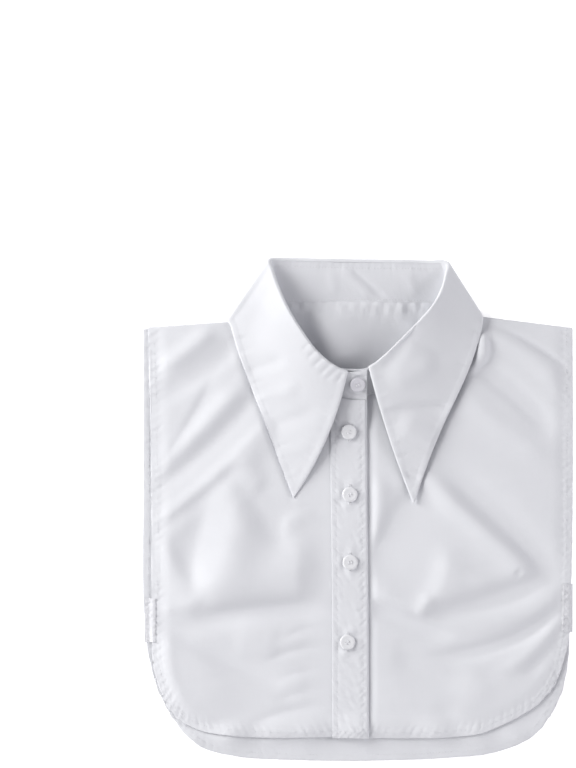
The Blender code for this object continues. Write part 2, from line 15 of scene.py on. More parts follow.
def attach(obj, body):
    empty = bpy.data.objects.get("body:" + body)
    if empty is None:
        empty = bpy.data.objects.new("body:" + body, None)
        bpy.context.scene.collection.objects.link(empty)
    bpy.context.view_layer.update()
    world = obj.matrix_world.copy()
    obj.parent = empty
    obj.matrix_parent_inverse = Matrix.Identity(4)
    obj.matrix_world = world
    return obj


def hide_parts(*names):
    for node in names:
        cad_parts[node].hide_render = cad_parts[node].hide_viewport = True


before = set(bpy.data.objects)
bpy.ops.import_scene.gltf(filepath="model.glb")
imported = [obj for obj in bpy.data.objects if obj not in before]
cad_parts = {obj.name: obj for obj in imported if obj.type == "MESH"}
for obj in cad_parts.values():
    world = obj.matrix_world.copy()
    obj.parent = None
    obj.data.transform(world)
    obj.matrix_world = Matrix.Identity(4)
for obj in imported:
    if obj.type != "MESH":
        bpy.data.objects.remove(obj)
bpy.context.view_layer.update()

MM = 0.001
FINE = 1.0

# A name that ends in FADE is a pair: where a shape starts, and where it has its full height.
# A name that ends in BAND is the middle and the half width of a soft strip. SLANT turns a wave.
Wave = namedtuple("Wave", "height pitch seed")
Groove = namedtuple("Groove", "depth width")
RIPPLE_PARTS = ((0.5, 1.0, 1.0), (0.3, 1.7, 2.3), (0.2, 0.43, 4.1))
PUCKER_SLANT = 0.6

# Cloth and hems
PANEL_WALL = 0.7
PLY_GAP = 0.16
COLLAR_WALL = 1.0
SEAM_UNDER = 0.1
EDGE_DROP = 0.2
HEM_WIDTH = 5.4
HEM_STITCH = HEM_WIDTH - 1.0
HEM_RISE = 0.24
HEM_FOOT_FADE = (0.9, 0.0)
HEM_EDGE_FADE = (0.7, 0.0)
HEM_GROOVE = Groove(0.08, 0.55)
HEM_PUCKER = Wave(0.5, 6.4, 0.0)
HEM_UNEVEN = Wave(0.45, 41.0, 0.7)
HEM_PULL_BAND = (HEM_WIDTH, 4.2)
HEM_PULL_FADE = (0.0, 1.5)
HEM_CRUMPLE = Wave(0.2, 4.6, 2.0)
HEM_CRUMPLE_SLANT = -0.9
HEM_CRUMPLE_FADE = (6.0, 4.0)

# Stitches
STITCH_PITCH = 2.3
STITCH_GAP = 0.5
STITCH_FLATTEN = 1.3
STITCH_REACH = 0.4
STITCH_LIFT = 0.02
STITCH_END = 1.0
STAND_STITCH_END = 1.2
THREAD_RADIUS = 0.13

# Stand
STAND_STITCH = 4.0
STAND_GROOVE = Groove(0.16, 0.9)
STAND_GROOVE_WAVE = Wave(1.0, 4.1, 0.8)
STAND_PUCKER = Wave(0.2, 5.3, 1.4)
STAND_PUCKER_REACH = 5.0
STAND_FOLD_FADE = (0.0, 5.0)
SEAM_STITCH = 1.6
SEAM_GROOVE = Groove(0.06, 0.7)
SEAM_PUCKER = Wave(0.1, 5.2, 1.3)
SEAM_PUCKER_REACH = 7.0
TURNOVER = 0.25

# Leaf
RIM_WIDTH = 1.7
RIM_ROUND = 0.6
ROLL_GAP = 0.02
ROLL_ROUNDS = 6
LEAF_FACING_FADE = (0.1, 0.6)
LEAF_FOLD_KEEP = 0.4
LEAF_FOLD_FADE = (0.0, 4.0)
LEAF_DRIFT = Wave(0.35, 46.0, 2.1)
LEAF_DRIFT_SLANT = 0.6
LEAF_DRIFT_FADE = (0.0, 10.0)
LEAF_PUCKER = Wave(0.42, 8.6, 0.8)
LEAF_PUCKER_BAND = (3.0, 7.0)
LEAF_UNEVEN = Wave(0.4, 37.0, 1.4)
LEAF_FALL_FADE = (0.0, 60.0)
LEAF_HEM_RISE = 0.2
LEAF_HEM_FADE = (4.6, 3.0)
WING_PRESS = 0.5
WING_REST = 0.12
WING_OUTER_FADE = (5.0, -1.0)
WING_INNER_FADE = (-4.0, 4.0)
WING_POINT_FADE = (-6.0, 4.0)
REST_FROM = 4.0
REST_BELOW = 136.0
REST_SHARPNESS = 4.0

# Back
LEAF_COVER = 1.6
LEAF_COVER_Y_FADE = (104.0, 136.0)
LEAF_COVER_X_FADE = (99.0, 87.0)
GATHER = Wave(1.5, 6.4, 2.2)
GATHER_SLANT = 0.2
GATHER_FOOT = 150.0
GATHER_MIDDLE = 152.0
GATHER_REACH = 5.0
GATHER_FADE = (76.0, 66.0)
BACK_SWELL = 2.8
BACK_SWELL_BAND = (-164.0, 9.0)
BACK_SWELL_CURVE = 0.00055
BACK_SWELL_FADE = (-135.0, -147.0)
BACK_SWELL_WAVE = Wave(0.5, 52.0, 0.9)

# Fronts
FOLD_DEPTH = 0.86
FOLD_END_FADE = (-0.15, 0.25)
DRAPE = 2.1
DRAPE_SHARPNESS = 1.3
FRONT_CRUMPLE = ((0.7, -0.4, Wave(0.2, 31.0, 2.2)), (0.3, 0.9, Wave(1.0, 23.0, 2.2)))
BORDER_FADE = (0.0, 15.0)
BORDER_KEEP = 0.26
SHOULDER_KEEP = 0.2
SHOULDER_FADE = (142.0, 127.0)
SHOULDER_LIFT = (0.0, 1.1)
SHOULDER_ROUND = 1.3
NECK_FADE = (26.0, 0.0)
NECK_END = 14
LAP_FADE = (-42.0, -21.0)
LAP_LIFT = 0.5
LAP_LIFT_FADE = (-16.0, 4.0)
LAP_UNEVEN = Wave(0.25, 44.0, 1.6)
FRONT_TOP_INSET = 1.0

# Placket
PLACKET_WALL = 0.8 * PANEL_WALL
PLACKET_GAP = 0.1
PLACKET_TOP_RIGHT = 5.6
PLACKET_LOW_RIGHT = 7.4
PLACKET_WIDTH = 26.6
PLACKET_FOOT = -171.2
PLACKET_TOP_GAP = 0.3
PLACKET_RUN = 260.0
PLACKET_LEFT_FADE = (-48.0, -21.0)
PLACKET_RIGHT_FADE = (15.0, 8.0)
PLACKET_HEM_TOP = -150.0
PLACKET_DAMP = 0.7
PLACKET_PRESS = 0.5
PLACKET_ROUND = 0.9
PLACKET_EDGE_FADE = (0.6, 0.0)
PLACKET_STITCH = 3.6
PLACKET_STITCH_TOP = 82.0
PLACKET_GROOVE = Groove(0.07, 0.6)
PLACKET_SWELL = 0.15
PLACKET_SWELL_FADE = (0.0, 3.0)
PLACKET_PUCKER = Wave(0.36, 6.2, 0.7)
PLACKET_PUCKER_SLANT = 0.8
PLACKET_PUCKER_BAND = (PLACKET_STITCH, 2.6)
PLACKET_UNEVEN = Wave(0.35, 29.0, 0.3)
PLACKET_CRUMPLE = ((0.8, 1.0, Wave(0.3, 12.5, 1.2)), (1.0, -0.4, Wave(1.0, 15.0, 2.9)))
PLACKET_CRUMPLE_FADE = (0.0, 3.0)
PLACKET_CRUMPLE_KEEP = 0.4
PLACKET_SMOOTH_FADE = (30.0, 0.0)
PLACKET_LOW = Wave(0.24, 11.0, 3.0)
PLACKET_LOW_SLANT = 0.7
PLACKET_LOW_FADE = (-92.0, -106.0)
PLACKET_LOW_EDGE_FADE = (0.0, 4.0)

# Buttons and buttonholes
STAR_HEIGHT = 0.4
STAR_RAYS = 4.0
STAR_BAND = (8.6, 3.4)
STAR_FADE = (0.0, 5.0)
BUTTON_RADIUS = 5.7
BUTTON_HEIGHT = 1.5
BUTTON_DISH = 1.4
BUTTON_AXIS = 0.001
BUTTON_FACE = 2.9
BUTTON_SLOPE = (3.1, 3.85)
BUTTON_RIM = 4.55
BUTTON_RIM_TURN = (0.5 * math.pi, -0.3 * math.pi)
BUTTON_FOOT = 3.8
BUTTON_REST = 0.1
BUTTON_CREASE = 40.0
BUTTON_STEPS = 64
BUTTON_MERGE = 0.01
THREAD_HOLE_STEPS = 20
THREAD_HOLE_RADIUS = 0.38
THREAD_HOLE_SPACING = 1.05
STRAND_SHIFTS = (-0.26, 0.0, 0.26)
STRAND_RADIUS = 0.27
STRAND_RISE = 0.28
STRAND_DROP = 0.9
STRAND_OVER = 0.3
SHANK = {"radius1": 1.5 * MM, "radius2": 1.3 * MM, "depth": 1.2 * MM}
SHANK_LEVEL = -0.1
BUTTONHOLE_LENGTH = 14.6
BUTTONHOLE_WIDTH = 2.3
BUTTONHOLE_SLIT = 0.18
BUTTONHOLE_PITCH = 0.42
BUTTONHOLE_THREAD = 0.2
BUTTONHOLE_LIFT = 0.1
BAR_REACH = 0.62 * BUTTONHOLE_WIDTH
BAR_STEPS = (0.0, 0.4, 0.8)
BAR_OUT = 0.2
BAR_THREAD = 0.18
BAR_LIFT = 0.04

# Points on a run, and the grids of the pieces: for each way the length, the coarse step and
# where given the finest one
STATION_POINTS = 400
STITCH_POINTS = 500
PLACKET_POINTS = 260
SIDE_POINTS = 200
HEM_POINTS = 160
NECK_POINTS = 160
CENTRE_POINTS = 60
FOOT_POINTS = 40
TAPE_POINTS = 12
BORDER_SKIP = 4
NEAREST_BATCH = 4000
GRIDS = {
    "back_panel": ((322.0, 1.9), (340.0, 1.9)),
    "front_left": ((178.0, 1.35), (310.0, 1.5)),
    "front_right": ((164.0, 1.35), (310.0, 1.5)),
    "placket": ((PLACKET_WIDTH, 0.55, 0.12), (254.0, 0.9)),
    "side_strap_right": ((8.3, 0.5, 0.15), (33.0, 0.8)),
    "side_strap_left": ((8.0, 0.5, 0.15), (36.0, 0.8)),
}
STAND_ROWS = (26.0, 0.8, 0.2)
STAND_STEP = 1.3
LEAF_ROWS = (90.0, 1.2, 0.3)
LEAF_STEP = 1.4
LEAF_PACE = 0.8
ROLL_ROWS = 14

# Collar sections from the wearer's right front, around the back, to the left front.
# neck = seam to the panels, top = upper edge of the stand, edge = outer edge of the leaf,
# lean = the way that the leaf rolls out of the stand in degrees (0 over it, 90 and 270
# sideways, 180 under it), roll = radius of that fold, bow = sideways swell of the leaf,
# sag = how soon the leaf drops below a straight fall (1 straight).
Section = namedtuple("Section", "name neck top edge lean roll bow sag")
COLLAR_SECTIONS = tuple(Section(*row) for row in (
    ("right lap end", (6.5, 82.6, 8.6), (6.5, 105, 15.9), None, 5, 1.9, 0, 1),
    ("right front", (-8, 83.4, 7.8), (-8, 102.8, 16), (-48.3, 8.8, 3.5), 12, 0.9, -5, 1.2),
    ("right chest", (-20, 87.2, 6.8), (-19.8, 108.6, 17.4), (-55.6, 27.4, 3.2), 22, 0.9, -3.8, 1.2),
    ("right throat", (-33, 94.7, 6), (-31.5, 118.8, 18.8), (-62.9, 47, 3.2), 32, 0.9, -2.4, 1.2),
    ("right hollow", (-46, 106.9, 5.4), (-42, 133, 19.4), (-71.2, 69.5, 3.3), 40, 0.9, -1.5, 1.2),
    ("right side", (-58, 122.4, 5), (-52.3, 149.9, 18.5), (-80.9, 94.5, 3.5), 46, 0.9, 0, 1.2),
    ("right neck", (-68, 138.7, 4.8), (-59.7, 166.7, 15.8), (-89.5, 118, 3.8), 55, 1.1, 0, 1.2),
    ("right shoulder", (-73.8, 149.4, 4.6), (-63.8, 179, 13.2),
     (-95.2, 137.4, 4.2), 72, 1.3, 0, 1.05),
    ("right corner", (-75.6, 153, 4.2), (-65.2, 184.8, 11.6), (-97.4, 143.4, 3.5), 92, 1.6, 0, 1),
    ("right tuck", (-73.4, 154.4, 3.4), (-62.2, 185.6, 10.2), (-93.4, 144.2, 0.6), 130, 1.8, 0, 2),
    ("right back", (-65, 155, 2.6), (-55, 185.8, 8.8), (-82, 141, 0.6), 170, 1.9, 0, 4),
    ("right half back", (-36, 155.4, 2.3), (-32, 185.4, 8), (-46, 140, 0.6), 180, 1.9, 0, 4),
    ("back", (0, 155.6, 2.2), (0, 184.8, 7.6), (0, 139.6, 0.6), 180, 1.9, 0, 4),
    ("left half back", (36, 155.4, 2.3), (32, 184.4, 8), (46, 139.8, 0.6), 180, 1.9, 0, 4),
    ("left back", (65, 154.6, 2.6), (55.5, 183.8, 8.8), (79, 141, 0.6), 190, 1.9, 0, 4),
    ("left tuck", (73.4, 154, 3.4), (62.8, 183.6, 10.2), (88.6, 146.4, 0.6), 230, 1.8, 0, 2),
    ("left corner", (75.6, 152.6, 4.2), (66, 181.8, 11.6), (92.4, 146.2, 4), 268, 1.4, 0, 1),
    ("left shoulder", (73.6, 149.4, 4.6), (65, 176, 13.4), (92.8, 139.4, 6), 288, 0.95, 0, 1.05),
    ("left neck", (68, 139.4, 4.8), (61.4, 163.4, 16.2), (86, 114.6, 7), 305, 0.75, 0, 1.2),
    ("left side", (59, 126.6, 5), (54.4, 151.2, 18.8), (76.6, 91.6, 7), 314, 0.7, 0, 1.35),
    ("left hollow", (46.5, 112.6, 5), (44, 139.6, 19.4), (65, 67, 6.6), 320, 0.7, 0, 1.35),
    ("left throat", (33.5, 100.6, 5), (32.2, 127.6, 18.6), (55.4, 44.6, 6), 328, 0.7, 0, 1.35),
    ("left chest", (20.5, 91.4, 5.2), (20.4, 116, 17.2), (47.8, 23.6, 5.4), 338, 0.7, 1.2, 1.35),
    ("left front", (7.5, 85.6, 5.6), (7.6, 106.4, 15.6), (41.6, 4.6, 4.4), 348, 0.7, 1.9, 1.35),
    ("left lap end", (-17, 87.8, 4.8), (-16.6, 105.6, 13), None, 355, 1.9, 0, 1),
))
SECTION_NAMES = [section.name for section in COLLAR_SECTIONS]
LAST = len(COLLAR_SECTIONS) - 1
FIRST_LEAF = 1
LAST_LEAF = LAST - 1
RIGHT_CORNER = SECTION_NAMES.index("right corner")
LEFT_CORNER = SECTION_NAMES.index("left corner")

# Outlines, each run of points smoothed: shoulder from the neck outwards, side downwards,
# hem from the round corner towards the middle.
Outline = namedtuple("Outline", "shoulder side hem")
BACK_RIGHT = Outline(
    shoulder=((-84, 141.4), (-96.5, 139.4), (-160.8, 135.1)),
    side=((-160.8, 135.1), (-160.9, 20), (-160.2, -80), (-158.6, -100), (-155.6, -116),
          (-150.6, -134), (-140.6, -154.1)),
    hem=((-140.6, -154.1), (-128.3, -169.6), (-116, -178.6), (-94.5, -184.3), (-43.5, -187.8),
         (0, -188.6)),
)
BACK_LEFT = Outline(
    shoulder=((84, 142.6), (91, 143.6), (160.7, 134.8)),
    side=((160.7, 134.8), (161, 76), (159.8, -55.7), (158.6, -92), (157, -117), (152.4, -138),
          (144.6, -154)),
    hem=((144.6, -154), (132.8, -168.6), (116, -177.6), (98, -183), (69, -186), (0, -188.6)),
)
FRONT_RIGHT = Outline(
    shoulder=((-84, 141.2), (-96.5, 139.2), (-157.3, 135)),
    side=((-157.3, 135), (-155.6, 70), (-154.6, 0), (-154.6, -80), (-154.2, -104), (-151.4, -126),
          (-142.5, -148.5)),
    hem=((-142.5, -148.5), (-131, -159.5), (-118.5, -165.4), (-94.5, -169.2), (-17.3, -170.4),
         (7.7, -171.3)),
)
FRONT_LEFT = Outline(
    shoulder=((84, 142.4), (91, 143.4), (160.4, 134.6)),
    side=((160.4, 134.6), (160.7, 76), (159.5, -55.7), (158.2, -92), (155.4, -108), (151.2, -123),
          (145, -135)),
    hem=((145, -135), (136.6, -144.4), (121.5, -154.6), (106.5, -162.2), (91, -167.8), (72, -170),
         (8, -171), (-17, -171)),
)

# Soft ridges (height > 0) and troughs (height < 0) on an arc from one place to another that
# swells sideways by bow, with a width on each side of the arc.
Fold = namedtuple("Fold", "x y to_x to_y bow height left right")


def fold_table(*rows):
    return [Fold(*row) for row in rows]


RIGHT_FRONT_FOLDS = fold_table(
    (-108, 138, -147, 106, -2, 2.6, 7, 7),
    (-82, 132, -152, 82, -4, -2.6, 7, 9),
    (-109, 97, -150, 29, -2, -1.4, 8, 4),
    (-84, 96, -154, 26, -2, 2.8, 10, 8),
    (-74, 90, -154, 13, -3, -2.7, 7, 7),
    (-62, 70, -156, -17, -4, 3.2, 14, 7),
    (-86, 36, -151, -16, -2, -2.3, 7, 6),
    (-112, 8, -127, -60, 4, -2, 8, 12),
    (-91, 18, -120, -72, -12, 5.6, 20, 16),
    (-92, 38, -74, 14, -3, 1.5, 8, 9),
    (-86, 11, -57, -32, -2, -1.1, 8, 9),
    (-152, -20, -128, -66, -2, 2, 8, 10),
    (-150, -74, -118, -68, 2, 1.4, 6, 6),
    (-56, -16, -30, -5, -5, 1.3, 6, 8),
    (-108, -66, 2, -20, 5, 5.2, 22, 26),
    (-122, -84, 4, -76, -6, -5.2, 8, 9),
    (-92, -100, -60, -100, 0, 1.2, 10, 10),
    (-152, -82, -58, -130, 2, -3, 9, 8),
    (-130, -80, -112, -162, 0, 2.6, 24, 52),
    (-147, -96, -133, -150, 5, 1.5, 10, 10),
    (-21, -88, -52, -94, 2, -0.7, 3.2, 3),
    (-21, -96, -60, -101, 1, 0.7, 4, 4),
    (-21, -104, -68, -113, 3, -0.9, 3.4, 3.4),
    (-21, -119, -56, -125, 1, -0.6, 3, 3),
    (-21, -127, -62, -134, 2, 0.6, 4.4, 4),
    (-21, -135, -60, -143, 2, -0.6, 3.4, 3),
    (-21, -148, -78, -160, 3, -1.2, 4, 4),
)
LEFT_FRONT_FOLDS = fold_table(
    (100, 139, 156, 107, -2, -2.2, 2.6, 3.2),
    (98, 132, 152, 92, -5, 2.6, 8, 8),
    (84, 112, 142, 62, -3, -5.2, 8, 7),
    (78, 88, 146, 36, 3, 2, 9, 10),
    (90, 136, 85, 103, -7, 5, 3.8, 9),
    (54, 22, 134, -48, 2, 4.6, 7, 9),
    (66, 30, 147, -56, -5, -4.2, 11, 8),
    (15, 24, 11, -24, -3, 2, 7, 8),
    (46, 18, 10, -44, 2, -2.8, 24, 8),
    (70, -32, 48, -79, -6, 4.6, 28, 11),
    (54, -64, 46, -79, 0, 1.5, 5, 5),
    (12, -59, 60, -80, 2, 2.2, 9, 7),
    (8, -70, 66, -94, 2, -4, 6, 7),
    (46, -77, 144, -51, 7, -5.2, 9, 7),
    (86, -54, 130, -45, 2, 1.6, 9, 7),
    (118, -46, 122, -49, 0, -1, 3, 3),
    (84, -90, 152, -62, 5, 1.6, 8, 7),
    (64, -110, 153, -73, 9, -5.4, 5.6, 5),
    (106, -122, 150, -84, 4, 2.2, 6, 7),
    (126, -122, 152, -92, 2, -2.2, 6, 5),
    (30, -108, 78, -128, 4, -2.2, 12, 12),
    (14, -136, 66, -148, 3, 1.2, 12, 10),
    (96, -130, 74, -160, 0, 1, 10, 10),
)
FRONT_FOLDS = RIGHT_FRONT_FOLDS + LEFT_FRONT_FOLDS
BACK_FOLDS = fold_table(
    (-96, -160, -92, -186, 0, 0.7, 12, 12),
    (-40, -160, -44, -188, 0, 0.6, 14, 14),
    (30, -162, 34, -188, 0, 0.5, 12, 12),
    (84, -158, 92, -186, 0, 0.7, 12, 12),
    (-26, 150, -16, 104, 0, 5, 24, 12),
    (26, 152, 44, 134, 0, 0.9, 5, 6),
)
# Creases of the leaf and the stand, on the side that shows
LEAF_FOLDS = fold_table(
    (17, 104, 40, 138, 2, -1.6, 5, 6),
    (22, 74, 70, 78, 0, -1.7, 4, 6),
    (31, 64, 60, 48, 0, 1.7, 10, 9),
    (33, 29, 56, 22, 2, -1.3, 2.6, 2.6),
    (24, 96, 56, 112, 3, 1.3, 8, 8),
    (40, 130, 68, 112, 2, -0.8, 6, 7),
    (-33, 128, -42, 119, 0, -0.4, 1.2, 1.3),
    (-28, 122.5, -38, 113, 0, -0.55, 1.3, 1.4),
    (-23, 117, -34, 107, 0, -0.65, 1.4, 1.5),
    (-18, 112, -29, 101, 0, -0.55, 1.3, 1.4),
    (-14, 107, -24, 97.5, 0, -0.5, 1.2, 1.3),
    (-10.5, 103, -17, 95, 0, -0.4, 1.2, 1.3),
    (-84, 104, -56, 112, 0, -0.9, 5, 5),
    (-78, 84, -46, 92, 2, 0.9, 6, 6),
    (-70, 60, -32, 74, 0, -0.9, 6, 6),
    (-62, 40, -34, 50, 1, 0.5, 6, 5),
)
STAND_FOLDS = fold_table(
    (-5, 180, 21, 157, 0, -0.7, 2.6, 2.6),
    (-12, 180, 10, 160, 0, 0.6, 4, 4),
    (-20, 178, -18, 160, 0, 0.4, 4, 4),
    (36, 178, 44, 160, 0, 0.4, 4, 4),
    (-8.5, 104, 5.5, 98.6, 1, -1, 1.5, 1.7),
    (-6, 99, 5, 102.5, -1, 0.7, 1.4, 1.6),
    (-8, 89, 6.5, 85.4, 1, -1.1, 1.8, 1.8),
    (1, 95, 6.5, 88, 1, -0.8, 1.5, 1.5),
)

# Buttons down the placket: name, middle, turn in degrees
PLACKET_BUTTONS = (
    ("button_1", -6.9, 58.1, 84.0),
    ("button_2", -6.2, 11.3, 38.0),
    ("button_3", -5.9, -39.5, 12.0),
    ("button_4", -8.0, -99.2, 52.0),
)
STAND_BUTTON_X = -0.5
STAND_BUTTON_RISE = 0.5
STAND_BUTTON_LIFT = 0.5 * COLLAR_WALL + 0.45
STAND_BUTTON_TURN = 20.0

# Side tapes: node, run along y, run along x
STRAPS = (
    ("side_strap_right", (-99.5, -66.5), (-159.9, -151.6)),
    ("side_strap_left", (-91.7, -55.7), (152.6, 160.6)),
)
TAPE_WALL = 0.32
TAPE_GAP = 0.08
TAPE_SWELL = 0.08
TAPE_SWELL_FADE = (0.0, 2.0)
TAPE_WAVE = Wave(0.12, 5.0, 1.9)
TAPE_SLANT = 0.5
TAPE_STEP_FADE = (-1.5, 2.5)
TAPE_SIDE_REACH = 20.0
TAPE_STITCH_ROWS = (1.2, 2.0, 2.8)
TAPE_STITCH_INSET = 0.8
TAPE_STITCH_PITCH = 1.3
TAPE_THREAD = 0.16

# Finishes: dark and light tone, scales of noise to the metre, relief in millimetres
THREAD_PITCH = 0.62
WEFT_PITCH = THREAD_PITCH / 0.8
WARP_SLUB = (1500.0, 60.0, 1.0)
WEFT_SLUB = (60.0, 1300.0, 1.0)
WEAVE_RELIEF = 0.012
SLUB_RELIEF = 0.03
CRUMPLE_SCALE = 105.0
CLOUD_SCALE = 16.0
PANEL_CRUMPLE = 0.07
COLLAR_CRUMPLE = 0.045
TAPE_RIB = 1.6
TAPE_TWILL = 0.9
TAPE_GRAIN_SCALE = 900.0
RESIN_CLOUD = (260.0, 260.0, 900.0)
RESIN_SCUFF_SCALE = 1800.0
THREAD_TWIST = (2600.0, 2600.0, 900.0)
FLOOR_GRAIN_SCALE = 300.0
POPLIN_TONES = ((0.675, 0.683, 0.714), (0.705, 0.713, 0.742))
TAPE_TONES = ((0.665, 0.67, 0.70), (0.70, 0.705, 0.735))
RESIN_TONES = ((0.72, 0.725, 0.75), (0.78, 0.785, 0.805))
# Darker copy of the resin tones for the stand button: painted shade where the wings shade that
# button
PAINTED_SHADE_TONES = ((0.60, 0.595, 0.64), (0.66, 0.655, 0.70))
THREAD_TONES = ((0.66, 0.665, 0.69), (0.74, 0.745, 0.77))
FLOOR_TONES = ((0.93, 0.93, 0.93), (0.95, 0.95, 0.95))
FLOOR_GLOW = 0.5
FLOOR_HALF = 4.0
FLOOR_DROP = 0.2

# Camera and light
VIEW_MIDDLE = (-52.5, 94.0)
VIEW_HEIGHT = 576.0
CAMERA_HEIGHT = 2400.0
SENSOR = 36.0
LIGHT_DISTANCE = 1.9
Light = namedtuple("Light", "name turn rise strength size colour")
LIGHTS = (
    Light("window", 156.0, 23.0, 1.28, 1.1, (1.0, 0.995, 0.98)),
    Light("wall left", 215.0, 25.0, 0.31, 1.2, (1.0, 0.995, 0.99)),
    Light("wall right", 12.0, 25.0, 0.46, 1.2, (1.0, 0.99, 1.0)),
    Light("wall low", 308.0, 24.0, 0.31, 1.2, (1.0, 0.99, 1.0)),
)
AMBIENT = 0.22
AMBIENT_COLOUR = (0.93, 0.92, 1.0, 1.0)


# ---------------------------------------------------------------- curves and outlines

def ease(value):
    """Smooth step from 0 to 1."""
    value = np.clip(value, 0.0, 1.0)
    return value * value * (3.0 - 2.0 * value)


def ramp(value, start, full):
    """Smooth step from 0 at the start to 1 at the full end, which may lie below the start."""
    return ease((value - start) / (full - start))


def raised(share, least):
    """Share from 0 to 1 squeezed in between the least and 1."""
    return least + (1.0 - least) * share


def arch(share):
    """Arch over a length: 0 at both ends and 1 in the middle."""
    return 4.0 * share * (1.0 - share)


def bell(value, middle, width):
    """Bell curve, 1 at its middle."""
    return np.exp(-((value - middle) / width) ** 2)


def rounding(away, width):
    """Quarter round beside an edge: 1 on the edge, 0 from the width onwards."""
    return 1.0 - np.sqrt(1.0 - np.clip(1.0 - away / width, 0.0, 1.0) ** 2)


def soft_floor(value, least, sharpness):
    """Value that bends softly so as to stay above the least."""
    return least + np.logaddexp(0.0, sharpness * (value - least)) / sharpness


def groove(away, shape):
    """Stitched groove, read by the distance from its middle."""
    return -shape.depth * bell(away, 0.0, shape.width)


def ripple(place, wave, seed=0.0):
    """Uneven wave along a length, within its height up and down."""
    turn = math.tau * np.asarray(place) / wave.pitch
    return wave.height * sum(share * np.sin(speed * turn + shift * (wave.seed + seed))
                             for share, speed, shift in RIPPLE_PARTS)


def uneven(place, wave, seed=0.0):
    """Share of at most 1 that comes and goes along a length."""
    return 1.0 - wave.height + ripple(place, wave, seed)


def crumple(x, y, pair):
    """Soft dents where two slanting waves cross."""
    first, second = (ripple(by_x * x + by_y * y, wave) for by_x, by_y, wave in pair)
    return first * second


def unit(vectors):
    return vectors / np.maximum(np.linalg.norm(vectors, axis=-1, keepdims=True), 1e-9)


def lengths(points):
    """Distance along a run of points, from 0 at the first."""
    gaps = np.linalg.norm(np.diff(points, axis=0), axis=1)
    return np.concatenate(([0.0], np.cumsum(gaps)))


def curve(knots, values, at):
    """Smooth curve through the values at the knots, read at the given places."""
    knots = np.asarray(knots, float)
    values = np.asarray(values, float).reshape(len(knots), -1)
    gaps = np.diff(knots)[:, None]
    slopes = np.diff(values, axis=0) / gaps
    middle = (slopes[:-1] * gaps[1:] + slopes[1:] * gaps[:-1]) / (gaps[1:] + gaps[:-1])
    tangents = np.concatenate((slopes[:1], middle, slopes[-1:]))
    at = np.asarray(at, float)
    left = np.clip(np.searchsorted(knots, at, side="right") - 1, 0, len(knots) - 2)
    width = gaps[left]
    f = ((at - knots[left]) / width[:, 0])[:, None]
    level = values[left] * (1 + 2 * f) * (1 - f) ** 2 + values[left + 1] * f * f * (3 - 2 * f)
    slant = tangents[left] * f * (1 - f) ** 2 - tangents[left + 1] * f * f * (1 - f)
    return level + width * slant


def smooth_run(points, count):
    """Evenly spaced points on the smooth curve through a short run of points."""
    knots = lengths(points)
    return curve(knots, points, np.linspace(0.0, knots[-1], count))


def spread(points, at):
    """Points at the given shares of the length of a run, in plan."""
    knots = lengths(points)
    at = np.asarray(at) * knots[-1]
    return np.stack([np.interp(at, knots, points[:, axis]) for axis in range(2)], axis=-1)


def straight_run(points):
    """Straight run through the points, about one point to the millimetre."""
    return spread(points, np.linspace(0.0, 1.0, int(lengths(points)[-1]) + 2))


def steps(length, coarse, fine=0.35, growth=1.5):
    """Shares of a length from 0 to 1, fine at both ends and coarse between."""
    ends = []
    size = fine
    while size < coarse * FINE and 2.0 * (sum(ends) + size) < length:
        ends.append(size)
        size *= growth
    middle = length - 2.0 * sum(ends)
    count = max(1, round(middle / (coarse * FINE)))
    sizes = np.array(ends + [middle / count] * count + ends[::-1])
    return np.concatenate(([0.0], np.cumsum(sizes))) / sizes.sum()


def nearest(x, y, run):
    """Distance in plan to the nearest point of a run, and that point's place in it."""
    gap = np.empty(len(x))
    place = np.empty(len(x), int)
    for first in range(0, len(x), NEAREST_BATCH):
        batch = slice(first, first + NEAREST_BATCH)
        apart = np.hypot(x[batch, None] - run[:, 0], y[batch, None] - run[:, 1])
        place[batch] = apart.argmin(axis=1)
        gap[batch] = apart.min(axis=1)
    return gap, place


def offset_run(run, distance, towards):
    """Run moved in plan to the side on which a point lies."""
    along = unit(np.gradient(run[:, :2], axis=0))
    normal = np.stack([along[:, 1], -along[:, 0]], axis=-1)
    side = np.sign(np.sum(normal * (np.array(towards) - run[:, :2]), axis=1))[:, None]
    return run[:, :2] + distance * normal * side


def folds(x, y, table):
    """Sum of the ridges and troughs of a table."""
    total = np.zeros_like(x)
    for fold in table:
        run_x, run_y = fold.to_x - fold.x, fold.to_y - fold.y
        length = math.hypot(run_x, run_y)
        along = ((x - fold.x) * run_x + (y - fold.y) * run_y) / length ** 2
        across = ((x - fold.x) * run_y - (y - fold.y) * run_x) / length
        across = across - fold.bow * arch(along)
        width = np.where(across < 0.0, fold.left, fold.right)
        ends = ramp(along, *FOLD_END_FADE) * ramp(1.0 - along, *FOLD_END_FADE)
        total += fold.height * ends * bell(across, 0.0, width)
    return total


def plan_of(table):
    """The x and the y of all the points of a table."""
    return table[..., 0].reshape(-1), table[..., 1].reshape(-1)


def surface_normals(table):
    along = np.gradient(table, axis=0)
    across = np.gradient(table, axis=1)
    return unit(np.cross(along, across))


# ---------------------------------------------------------------- collar surfaces

TOPS = np.array([section.top for section in COLLAR_SECTIONS])
NECKS = np.array([section.neck for section in COLLAR_SECTIONS])
KNOTS = lengths(TOPS)
LEAF_SECTIONS = COLLAR_SECTIONS[FIRST_LEAF:LAST_LEAF + 1]
LEAF_KNOTS = KNOTS[FIRST_LEAF:LAST_LEAF + 1]


def leaf_column(field, at):
    return curve(LEAF_KNOTS, [getattr(section, field) for section in LEAF_SECTIONS], at)


